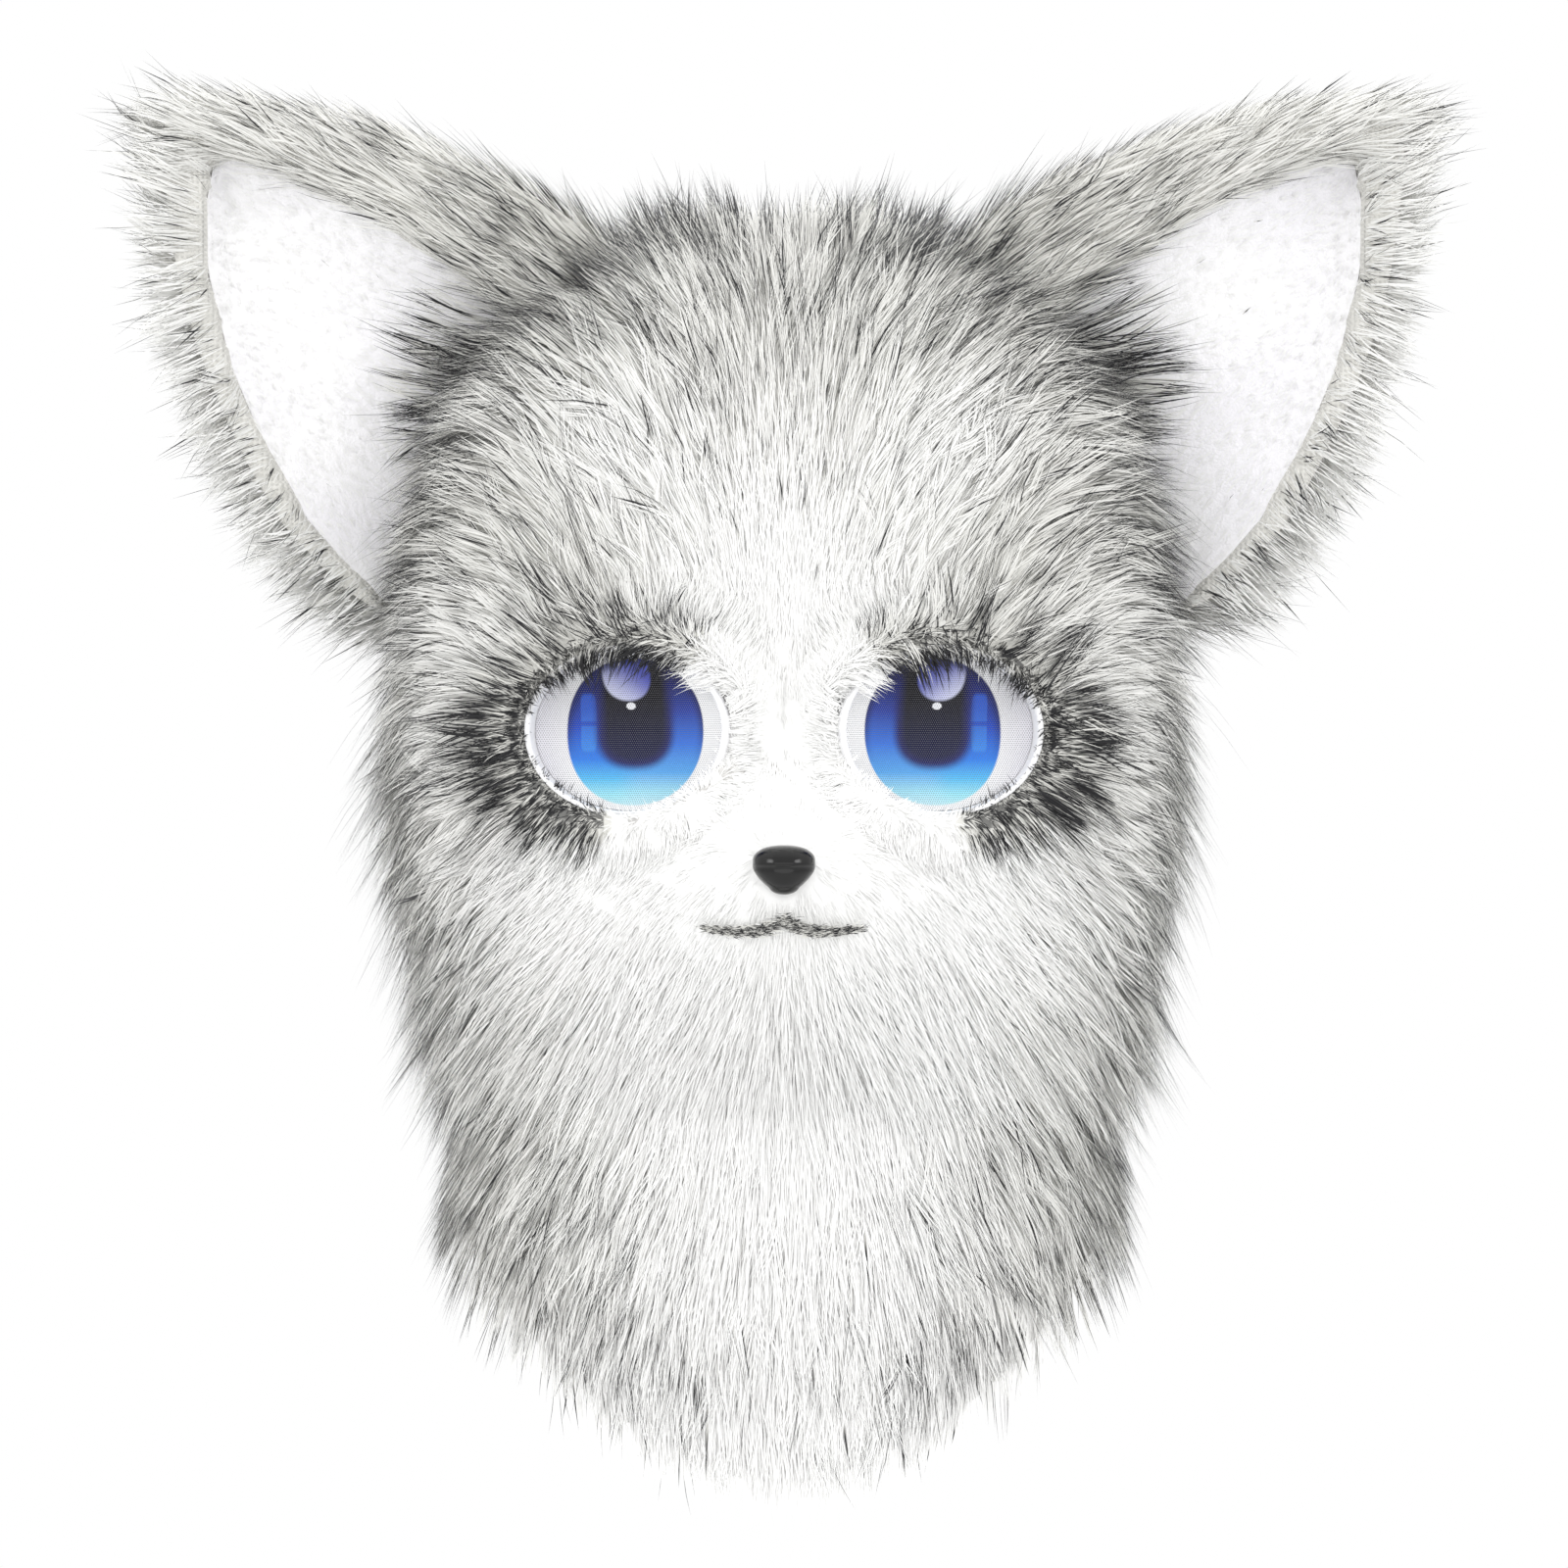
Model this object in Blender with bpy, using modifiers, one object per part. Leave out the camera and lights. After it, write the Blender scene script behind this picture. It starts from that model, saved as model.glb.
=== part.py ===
"""Furry animal costume head, worn over the wearer's own head.

A hollow padded shell carries a long-pile coat in patches, two big lined ears, two recessed mesh
eyes and a small plastic nose. A fabric collar with a ruff and a bib hangs from its neck rim.
Metres, +Z up, the face towards -Y. The origin is the crown seat: the top of the hollow, where the
head rests on the wearer's crown.
"""

import math
import random
from collections import namedtuple

import bmesh
import bpy
from mathutils import Matrix, Vector
from mathutils.bvhtree import BVHTree

# Padded shell
HEAD_WIDTH = 0.236
FACE_REACH = 0.112
BACK_REACH = 0.125
NECK_DROP = 0.235
FACE_SQUARENESS = 2.6
BACK_SQUARENESS = 2.1
CROWN_FOAM = 0.038
SIDE_FOAM = 0.030
FACE_FOAM = 0.022
BACK_FOAM = 0.022

# Muzzle, a swelling of the face
MUZZLE_REACH = 0.038
MUZZLE_WIDTH = 0.104
MUZZLE_HEIGHT = 0.090
MUZZLE_SAG = 0.1  # share of its height by which its middle hangs below the nose
MUZZLE_BLUNTNESS = 2.7

# Coat: depth of its fused backing, length of its locks, and how they stand
LONG_PILE = 0.010
SHORT_PILE = 0.006
CROWN_LOCK = 0.030
CHEEK_LOCK = 0.034
BACK_LOCK = 0.032
RUFF_LOCK = 0.034
BIB_LOCK = 0.030
HEM_LOCK = 0.022
EAR_LOCK = 0.020
LOCK_SPREAD = (0.8, 1.15)  # shortest and longest lock, as shares of the named length
HEM_SPREAD = (0.7, 1.0)
LOCK_PITCH = 0.022
LOCK_CLEARANCE = 0.012  # how far a lock stays from an ear or an eye
PILE_RISE = 0.72
PILE_LEAN = 0.69
FRONT_FALL = 0.050
BACK_FALL = 0.100

# Collar, ruff and bib
COLLAR_WALL = 0.003
COLLAR_TUCK = 0.0015
COLLAR_FLARE = 0.012
BIB_LENGTH = 0.150
BIB_HALF_ANGLE = math.radians(34)
RIM_BLEND = 0.050

# Eyes
EYE_SPACING = 0.111
EYE_DROP = 0.124
EYE_WIDTH = 0.074
EYE_HEIGHT = 0.056
EYE_YAW = math.radians(25)
RIM_WALL = 0.0025
RIM_DEPTH = 0.028
RIM_SINK = 0.003
SCREEN_WALL = 0.0012
SCREEN_RECESS = 0.004
SCREEN_DISH = 0.005

# Nose and mouth
NOSE_DROP = 0.172
NOSE_WIDTH = 0.022
NOSE_HEIGHT = 0.017
NOSE_DEPTH = 0.012
NOSE_SEAT = 0.003
NOSE_TAPER = 0.32
NOSE_WIDEST = 0.3  # share of its half height at which the nose has its named width
MOUTH_DROP = 0.196
MOUTH_WIDTH = 0.048
MOUTH_WAVE = 0.0042
MOUTH_FADE = 0.55  # share of the wave that is lost towards the ends
MOUTH_RADIUS = 0.0011

# Ears, each in its own plane: along its axis, across it, and back from its front face
EAR_LENGTH = 0.160
EAR_HALF_WIDTH = 0.077
EAR_DEPTH = 0.052
EAR_SPREAD = math.radians(45)
EAR_INSET = 0.009
EAR_DROP = 0.013
EAR_FRONT = -0.022
EAR_ROOT = 0.080
EAR_FRONT_BULGE = 0.003
EAR_THINNING = 0.7  # power by which the ear's depth follows its width
EAR_LAST_ROW = 0.93  # share of its length where the last ring before the tip lies
EAR_TIP_LOCK = 0.25  # least share of a lock's length, at the tip
LINING_LENGTH = 0.136
LINING_INNER = 0.038
LINING_OUTER = 0.070
LINING_WALL = 0.007
LINING_CUP = 0.024

# Clearances
FIT = 0.0004
SKIN_GAP = 0.0008
SEAM_GAP = 0.0006
SEAM_SLANT = 1.3  # how much wider a seam is along a ring than square to itself
CUTTER_REACH = 0.030  # how far the hollow's cutter runs out of the neck

# Seams between coat patches, as places down the shell (0 at the top, 1 at the rim) or angles
# from the front
CROWN_SEAM = 0.31
SIDE_SEAM = math.radians(115)

# Mesh density
HOLLOW_COLUMNS, HOLLOW_ROWS = 24, 9
FACE_COLUMNS, CHEEK_COLUMNS, BACK_COLUMNS = 10, 10, 14
CROWN_ROWS, SIDE_ROWS = 7, 12
RUFF_COLUMNS, BIB_COLUMNS = 30, 8
RUFF_ROWS, BIB_ROWS = 5, 7
COLLAR_COLUMNS, COLLAR_ROWS = 36, 3
EAR_ROWS, EAR_ARC, EAR_FACE = 13, 12, 4
LINING_ROWS, LINING_COLUMNS = 9, 8
RIM_STEPS = 32
NOSE_SEGMENTS, NOSE_RINGS = 24, 12
MOUTH_STEPS = 20

HeadSection = namedtuple("HeadSection", "level side front back")

# Evenly spaced along the profile. Level is a share of the height; the others are shares of half
# the width and of the reach to the front and back.
OUTER_SECTIONS = (
    HeadSection(0.000, 0.00, 0.00, 0.00),
    HeadSection(0.035, 0.38, 0.38, 0.38),
    HeadSection(0.125, 0.70, 0.70, 0.70),
    HeadSection(0.265, 0.895, 0.88, 0.90),
    HeadSection(0.420, 0.975, 0.97, 0.985),
    HeadSection(0.575, 1.00, 1.00, 1.00),
    HeadSection(0.725, 0.975, 1.00, 0.96),
    HeadSection(0.865, 0.915, 0.97, 0.87),
    HeadSection(1.000, 0.86, 0.90, 0.80),
)
HOLLOW_SECTIONS = (
    HeadSection(0.000, 0.00, 0.00, 0.00),
    HeadSection(0.045, 0.42, 0.42, 0.42),
    HeadSection(0.160, 0.74, 0.74, 0.74),
    HeadSection(0.340, 0.94, 0.94, 0.94),
    HeadSection(0.560, 1.00, 1.00, 1.00),
    HeadSection(0.780, 0.99, 1.00, 0.92),
    HeadSection(1.000, 0.97, 0.95, 0.82),
)

FaceSeam = namedtuple("FaceSeam", "angle")

# Half the angle that the white face patch spans, evenly from the crown seam down to the rim.
FACE_SEAMS = tuple(FaceSeam(math.radians(degrees)) for degrees in (14, 14, 18, 33, 50, 52, 52))

Hem = namedtuple("Hem", "drop")

# Share of the bib's length that the collar drops, evenly from the front round to the back.
HEM = tuple(Hem(share) for share in (1.00, 0.845, 0.55, 0.385, 0.35, 0.335, 0.333))

EarSection = namedtuple("EarSection", "reach width")

# Share of the ear's length against the share of its half width.
EAR_OUTLINE = (
    EarSection(0.00, 1.00),
    EarSection(0.15, 0.99),
    EarSection(0.30, 0.91),
    EarSection(0.45, 0.80),
    EarSection(0.60, 0.66),
    EarSection(0.75, 0.47),
    EarSection(0.88, 0.26),
    EarSection(0.96, 0.11),
    EarSection(1.00, 0.00),
)
LINING_OUTLINE = (
    EarSection(0.00, 1.00),
    EarSection(0.15, 0.98),
    EarSection(0.35, 0.88),
    EarSection(0.58, 0.70),
    EarSection(0.80, 0.44),
    EarSection(0.93, 0.20),
    EarSection(1.00, 0.00),
)

Finish = namedtuple("Finish", "colour roughness")
FINISHES = {
    "grey_pile": Finish((0.62, 0.62, 0.59), 0.95),
    "white_pile": Finish((0.90, 0.90, 0.88), 0.95),
    "foam": Finish((0.78, 0.78, 0.76), 0.90),
    "cloth": Finish((0.80, 0.80, 0.78), 0.90),
    "lining": Finish((0.93, 0.92, 0.93), 0.90),
    "white_plastic": Finish((0.92, 0.92, 0.93), 0.30),
    "printed_mesh": Finish((0.08, 0.20, 0.70), 0.45),
    "black_plastic": Finish((0.012, 0.012, 0.014), 0.12),
    "grey_cord": Finish((0.22, 0.22, 0.22), 0.90),
}

CHANCE = random.Random(7)


def remove_everything():
    for item in list(bpy.data.objects):
        bpy.data.objects.remove(item, do_unlink=True)


def make_collection(name):
    group = bpy.data.collections.new(name)
    bpy.context.scene.collection.children.link(group)
    return group


def make_material(name, finish):
    material = bpy.data.materials.new(name)
    material.use_nodes = True
    shader = material.node_tree.nodes["Principled BSDF"]
    shader.inputs["Base Color"].default_value = (*finish.colour, 1.0)
    shader.inputs["Roughness"].default_value = finish.roughness
    material.diffuse_color = (*finish.colour, 1.0)
    return material


def add_part(name, mesh, finish, smooth_angle=60):
    """Put a mesh in the model as one named piece with its own material."""
    piece = bpy.data.objects.new(name, mesh)
    PARTS.objects.link(piece)
    mesh.materials.clear()
    mesh.materials.append(make_material(name, FINISHES[finish]))
    mesh.shade_smooth()
    mesh.set_sharp_from_angle(angle=math.radians(smooth_angle))
    return piece


def add_cutter(name, mesh):
    cutter = bpy.data.objects.new(name, mesh)
    CUTTERS.objects.link(cutter)
    cutter.hide_render = True
    cutter.display_type = "WIRE"
    return cutter


def cut(piece, cutter):
    boolean = piece.modifiers.new(cutter.name, "BOOLEAN")
    boolean.operation = "DIFFERENCE"
    boolean.solver = "EXACT"
    boolean.object = cutter


def close_mesh(name, build):
    """Merge doubled points, turn every face outward and hand the mesh over in triangles."""
    bmesh.ops.remove_doubles(build, verts=build.verts, dist=1e-6)
    bmesh.ops.recalc_face_normals(build, faces=build.faces)
    bmesh.ops.triangulate(build, faces=build.faces)
    mesh = bpy.data.meshes.new(name)
    build.to_mesh(mesh)
    build.free()
    return mesh


def add_quad(build, corners):
    """Two triangles, always split along the same diagonal so that layered skins run parallel."""
    build.faces.new(corners[:3])
    build.faces.new((corners[0], corners[2], corners[3]))


def slab_mesh(name, outer, inner, around=False, pole=False):
    """Close two matching grids of points, an outer and an inner skin, into one solid."""
    build = bmesh.new()
    skins = [[[build.verts.new(point) for point in row] for row in grid] for grid in (outer, inner)]
    rows, columns = len(outer), len(outer[0])
    span = columns if around else columns - 1
    for skin in skins:
        for row in range(rows - 1):
            for column in range(span):
                beside = (column + 1) % columns
                add_quad(build, (skin[row][column], skin[row][beside],
                                 skin[row + 1][beside], skin[row + 1][column]))
    top, low = skins
    for row in (rows - 1,) if pole else (0, rows - 1):
        for column in range(span):
            beside = (column + 1) % columns
            add_quad(build, (top[row][column], top[row][beside], low[row][beside], low[row][column]))
    if not around:
        for column in (0, columns - 1):
            for row in range(rows - 1):
                add_quad(build, (top[row][column], top[row + 1][column],
                                 low[row + 1][column], low[row][column]))
    return close_mesh(name, build)


def loft_mesh(name, loops):
    """Skin a row of closed loops and cap both ends; an end loop may be shrunk to a point."""
    build = bmesh.new()
    rings = [[build.verts.new(point) for point in loop] for loop in loops]
    sides = len(loops[0])
    for ring, following in zip(rings, rings[1:]):
        for side in range(sides):
            beside = (side + 1) % sides
            add_quad(build, (ring[side], ring[beside], following[beside], following[side]))
    for ring in (rings[0], rings[-1]):
        if (ring[0].co - ring[sides // 2].co).length > 1e-6:
            build.faces.new(ring)
    return close_mesh(name, build)


def smooth_column(rows, column, place, mirror=0):
    """Read a table's column as a smooth curve, place running from 0 to 1 down evenly spaced rows.

    mirror says how the curve goes on before the first row: 1 even, -1 odd, 0 straight on.
    """
    values = [getattr(row, column) for row in rows]
    before = mirror * values[1] if mirror else 2 * values[0] - values[1]
    values = [before] + values + [2 * values[-1] - values[-2]]
    along = min(max(place, 0.0), 1.0) * (len(rows) - 1)
    left = min(int(along), len(rows) - 2)
    part = along - left
    p0, p1, p2, p3 = values[left:left + 4]
    bend = (2 * p0 - 5 * p1 + 4 * p2 - p3) * part + (3 * (p1 - p2) + p3 - p0) * part * part
    return p1 + 0.5 * part * ((p2 - p0) + bend)


def read_outline(rows, reach):
    """Read an outline table by straight stretches between its rows."""
    for near, far in zip(rows, rows[1:]):
        if reach <= far.reach:
            part = max(reach - near.reach, 0.0) / (far.reach - near.reach)
            return near.width + (far.width - near.width) * part
    return rows[-1].width


def ease(value):
    value = min(max(value, 0.0), 1.0)
    return value * value * (3 - 2 * value)


def ring_radius(angle, side, front, back):
    """Radius of a head section, rounder behind and squarer at the face."""
    if side < 1e-6:
        return 0.0
    facing = math.cos(angle)
    depth, power = (front, FACE_SQUARENESS) if facing > 0 else (back, BACK_SQUARENESS)
    return (abs(math.sin(angle) / side) ** power + abs(facing / depth) ** power) ** (-1 / power)


def section_point(sections, sizes, angle, place):
    """Point of a head-like form; sizes holds its top, height, half width, front and back."""
    top, height, side, front, back = sizes
    level = smooth_column(sections, "level", place, mirror=1)
    radius = ring_radius(angle,
                         side * smooth_column(sections, "side", place, mirror=-1),
                         front * smooth_column(sections, "front", place, mirror=-1),
                         back * smooth_column(sections, "back", place, mirror=-1))
    return Vector((radius * math.sin(angle), -radius * math.cos(angle), top - level * height))


def foam_point(angle, place):
    """Point of the shell's outer face: angle from the front, place from the top to the rim."""
    sizes = (CROWN_FOAM, CROWN_FOAM + NECK_DROP, HEAD_WIDTH / 2, FACE_REACH, BACK_REACH)
    point = section_point(OUTER_SECTIONS, sizes, angle, place)
    across = point.x / (MUZZLE_WIDTH / 2)
    along = (point.z + NOSE_DROP + MUZZLE_HEIGHT * MUZZLE_SAG) / (MUZZLE_HEIGHT / 2)
    fading = abs(across) ** MUZZLE_BLUNTNESS + abs(along) ** MUZZLE_BLUNTNESS
    swelling = MUZZLE_REACH * math.exp(-fading)
    point.y -= swelling * max(math.cos(angle), 0.0)
    return point


def hollow_point(angle, place):
    sizes = (0.0, NECK_DROP, HEAD_WIDTH / 2 - SIDE_FOAM, FACE_REACH - FACE_FOAM,
             BACK_REACH - BACK_FOAM)
    return section_point(HOLLOW_SECTIONS, sizes, angle, place)


def collar_point(angle, place):
    """Point of the collar's outer face, place running from its top ring to its hem."""
    rim = foam_point(angle, 1.0)
    outward = Vector((math.sin(angle), -math.cos(angle), 0.0))
    half_turns = abs(math.remainder(angle, math.tau)) / math.pi
    drop = BIB_LENGTH * smooth_column(HEM, "drop", half_turns, mirror=1)
    spread = COLLAR_FLARE * place - COLLAR_TUCK
    return rim + outward * spread - Vector((0, 0, FIT + drop * place))


def lifted(point_at, angle, place, lift):
    """Point raised off a surface along its normal, and that normal, which is level at the rim."""
    step = 0.004
    across = point_at(angle + step, place) - point_at(angle - step, place)
    down = point_at(angle, min(place + step, 1.0)) - point_at(angle, max(place - step, 0.0))
    normal = down.cross(across)
    if normal.length < 1e-9:
        return point_at(angle, place) + Vector((0, 0, lift)), Vector((0, 0, 1))
    normal.normalize()
    point = point_at(angle, place)
    normal.z *= ease(abs(point.z + NECK_DROP) / RIM_BLEND)
    normal.normalize()
    return point + normal * lift, normal


def face_y(x, z, lift):
    """How far forward the front of the shell, raised by lift, lies at a place seen from ahead."""
    low, high = 0.0, 1.0
    for _ in range(40):
        middle = (low + high) / 2
        if foam_point(0.0, middle).z > z:
            low = middle
        else:
            high = middle
    place = (low + high) / 2
    near, far = 0.0, math.pi / 2
    for _ in range(40):
        middle = (near + far) / 2
        if foam_point(middle, place).x < abs(x):
            near = middle
        else:
            far = middle
    return lifted(foam_point, (near + far) / 2, place, lift)[0].y


def pile_direction(point, normal):
    """The way the pile lies at a point: away from the nose, and down behind the crown."""
    behind = ease((point.y + FACE_REACH / 2) / (FACE_REACH / 2 + BACK_REACH))
    away = point - Vector((0, -FACE_REACH - MUZZLE_REACH, -NOSE_DROP))
    away.z -= FRONT_FALL + BACK_FALL * behind
    lean = away - normal * away.dot(normal)
    return (normal * PILE_RISE + lean.normalized() * PILE_LEAN).normalized()


def ear_frame(side):
    """Root of an ear, and the directions along its axis and across it, outward and down."""
    root = Vector((side * (HEAD_WIDTH / 2 - EAR_INSET), EAR_FRONT, -EAR_DROP))
    along = Vector((side * math.sin(EAR_SPREAD), 0, math.cos(EAR_SPREAD)))
    across = Vector((side * math.cos(EAR_SPREAD), 0, -math.sin(EAR_SPREAD)))
    return root, along, across


def near_ear(point, margin):
    root, along, across = ear_frame(1 if point.x > 0 else -1)
    offset = point - root
    inside_width = abs(offset.dot(across)) < EAR_HALF_WIDTH + margin
    inside_depth = -margin < offset.y < EAR_DEPTH + margin
    return inside_width and inside_depth and offset.dot(along) > -EAR_ROOT


def near_eye(point, margin):
    across = (abs(point.x) - EYE_SPACING / 2) / (EYE_WIDTH / 2 + RIM_WALL + margin)
    up = (point.z + EYE_DROP) / (EYE_HEIGHT / 2 + RIM_WALL + margin)
    return point.y < 0 and across ** 2 + up ** 2 < 1


def coat_mesh(name, point_at, angles_at, places, depth, lock, around=False, pole=False, hem=0.0):
    """One coat patch: a backing of even depth whose staggered points are drawn out into locks.

    angles_at gives the columns' angles at a place. hem is the length of the points along the
    lowest edge.
    """
    outer, inner = [], []
    last = len(places) - 1
    for row, place in enumerate(places):
        angles = angles_at(place)
        outer_row, inner_row = [], []
        last_root = None
        for column, angle in enumerate(angles):
            skin, normal = lifted(point_at, angle, place, SKIN_GAP)
            top = skin + normal * depth
            free = around or 0 < column < len(angles) - 1
            odd = (column + row // 2) % 2 == 1
            spaced = last_root is None or (top - last_root).length > LOCK_PITCH
            if lock and free and odd and spaced and row % 2 == 1 and 0 < row < last:
                last_root = top
                reach = lock * CHANCE.uniform(*LOCK_SPREAD)
                tip = top + pile_direction(top, normal) * reach
                if not any(near(end, LOCK_CLEARANCE) for near in (near_ear, near_eye)
                           for end in (top, tip)):
                    top = tip
            if hem and row == last and free and column % 2 == 1:
                drop = (point_at(angle, 1.0) - point_at(angle, 0.9)).normalized()
                drop *= hem * CHANCE.uniform(*HEM_SPREAD)
                top += drop
                skin += drop + normal * FIT
            outer_row.append(top)
            inner_row.append(skin)
        outer.append(outer_row)
        inner.append(inner_row)
    return slab_mesh(name, outer, inner, around, pole)


def spread_evenly(start, end, count):
    return [start + (end - start) * step / count for step in range(count + 1)]


def seam_share():
    """Half a seam as a place along the shell's profile."""
    return SEAM_GAP / 2 / (CROWN_FOAM + NECK_DROP + HEAD_WIDTH / 2)


def seam_angle():
    """Half a seam as an angle round the head."""
    return SEAM_GAP / 2 / (HEAD_WIDTH / 2) * SEAM_SLANT


def face_half_angle(place):
    down = (place - CROWN_SEAM) / (1 - CROWN_SEAM)
    return smooth_column(FACE_SEAMS, "angle", down)


def patch_angles(start, end, count):
    """Columns of a patch between two seams, with half a seam gap left at each side."""
    return spread_evenly(start + seam_angle(), end - seam_angle(), count)


def face_angles(place):
    half = face_half_angle(place)
    return patch_angles(-half, half, FACE_COLUMNS)


def cheek_angles(side):
    def angles(place):
        columns = patch_angles(face_half_angle(place), SIDE_SEAM, CHEEK_COLUMNS)
        return columns if side > 0 else [-angle for angle in reversed(columns)]
    return angles


def back_angles(place):
    return patch_angles(SIDE_SEAM, math.tau - SIDE_SEAM, BACK_COLUMNS)


def head_angles(place):
    """Columns all round the head: the patches' own, evened out above the crown seam."""
    half = face_half_angle(place)
    seam = spread_evenly(-half, half, FACE_COLUMNS)[:-1]
    seam += spread_evenly(half, SIDE_SEAM, CHEEK_COLUMNS)[:-1]
    seam += spread_evenly(SIDE_SEAM, math.tau - SIDE_SEAM, BACK_COLUMNS)[:-1]
    seam += spread_evenly(math.tau - SIDE_SEAM, math.tau - half, CHEEK_COLUMNS)[:-1]
    even = spread_evenly(seam[0], seam[0] + math.tau, len(seam))[:-1]
    share = ease(place / CROWN_SEAM)
    return [start + (end - start) * share for start, end in zip(even, seam)]


def head_places():
    """Rows of the crown patch and of the patches below it."""
    above = spread_evenly(0.0, CROWN_SEAM, CROWN_ROWS)
    below = spread_evenly(CROWN_SEAM, 1.0, SIDE_ROWS)
    return above, below


def head_loops(lift):
    """Loops of the shell's outer form, raised by lift, on the grid that the patches share."""
    above, below = head_places()
    return [[lifted(foam_point, angle, place, lift)[0] for angle in head_angles(place)]
            for place in above + below[1:]]


def make_shell():
    """Padded shell: the outer form less the hollow, open at the neck."""
    turns = spread_evenly(0.0, math.tau, HOLLOW_COLUMNS)[:-1]
    loops = [[hollow_point(angle, row / HOLLOW_ROWS) for angle in turns]
             for row in range(HOLLOW_ROWS + 1)]
    loops.append([point - Vector((0, 0, CUTTER_REACH)) for point in loops[-1]])
    shell = add_part("head_shell", loft_mesh("head_shell", head_loops(0.0)), "foam")
    cut(shell, add_cutter("hollow_cutter", loft_mesh("hollow_cutter", loops)))
    return shell


def make_head_coats():
    """Crown, cheek, back and face patches, keyed by name."""
    above, below = head_places()
    above[-1] -= seam_share()
    below[0] += seam_share()
    below[-1] -= seam_share()
    plans = (
        ("crown_fur", head_angles, above, LONG_PILE, CROWN_LOCK, "grey_pile"),
        ("cheek_fur_left", cheek_angles(1), below, LONG_PILE, CHEEK_LOCK, "grey_pile"),
        ("cheek_fur_right", cheek_angles(-1), below, LONG_PILE, CHEEK_LOCK, "grey_pile"),
        ("back_fur", back_angles, below, LONG_PILE, BACK_LOCK, "grey_pile"),
        ("face_fur", face_angles, below, SHORT_PILE, 0.0, "white_pile"),
    )
    coats = {}
    for name, angles, places, depth, lock, finish in plans:
        whole = name == "crown_fur"
        mesh = coat_mesh(name, foam_point, angles, places, depth, lock, around=whole, pole=whole)
        coats[name] = add_part(name, mesh, finish)
    return coats


def make_collar():
    """Fabric skirt that starts just under the shell's neck rim."""
    turns = spread_evenly(0.0, math.tau, COLLAR_COLUMNS)[:-1]
    outer, inner = [], []
    for place in spread_evenly(0.0, 1.0, COLLAR_ROWS):
        ring = [collar_point(angle, place) for angle in turns]
        outer.append(ring)
        inner.append([point + Vector((-math.sin(angle), math.cos(angle), 0)) * COLLAR_WALL
                      for angle, point in zip(turns, ring)])
    add_part("neck_collar", slab_mesh("neck_collar", outer, inner, around=True), "cloth")


def make_ruff_and_bib():
    """Long pile on the collar, grey round the sides and back and white in front."""
    def ruff_angles(place):
        return patch_angles(BIB_HALF_ANGLE, math.tau - BIB_HALF_ANGLE, RUFF_COLUMNS)

    def bib_angles(place):
        return patch_angles(-BIB_HALF_ANGLE, BIB_HALF_ANGLE, BIB_COLUMNS)

    top = SEAM_GAP / BIB_LENGTH
    ruff = coat_mesh("neck_ruff", collar_point, ruff_angles, spread_evenly(top, 1.0, RUFF_ROWS),
                     LONG_PILE, RUFF_LOCK, hem=HEM_LOCK)
    add_part("neck_ruff", ruff, "grey_pile")
    bib = coat_mesh("bib_fur", collar_point, bib_angles, spread_evenly(top, 1.0, BIB_ROWS),
                    LONG_PILE, BIB_LOCK, hem=HEM_LOCK)
    add_part("bib_fur", bib, "white_pile")


def eye_matrix(side):
    """Placement of an eye: local Z looks out of the head, local X runs across the eye."""
    x = side * EYE_SPACING / 2
    y = face_y(x, -EYE_DROP, SKIN_GAP + SHORT_PILE) + RIM_SINK
    turn = Matrix.Rotation(side * EYE_YAW, 4, "Z") @ Matrix.Rotation(math.pi / 2, 4, "X")
    return Matrix.Translation((x, y, -EYE_DROP)) @ turn


def turned(name, profile, steps):
    """Mesh with a profile in the XZ plane, for a Screw modifier to turn about local Z."""
    build = bmesh.new()
    points = [build.verts.new((radius, 0.0, height)) for radius, height in profile]
    for near, far in zip(points, points[1:]):
        build.edges.new((near, far))
    mesh = bpy.data.meshes.new(name)
    build.to_mesh(mesh)
    build.free()
    guide = bpy.data.objects.new(name + "_profile", mesh)
    CUTTERS.objects.link(guide)
    screw = guide.modifiers.new("turn", "SCREW")
    screw.axis = "Z"
    screw.steps = steps
    screw.render_steps = steps
    screw.use_merge_vertices = True
    screw.merge_threshold = 0.00001
    bpy.context.view_layer.update()
    graph = bpy.context.evaluated_depsgraph_get()
    solid = bpy.data.meshes.new_from_object(guide.evaluated_get(graph))
    bpy.data.objects.remove(guide)
    build = bmesh.new()
    build.from_mesh(solid)
    bpy.data.meshes.remove(solid)
    return close_mesh(name, build)


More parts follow.
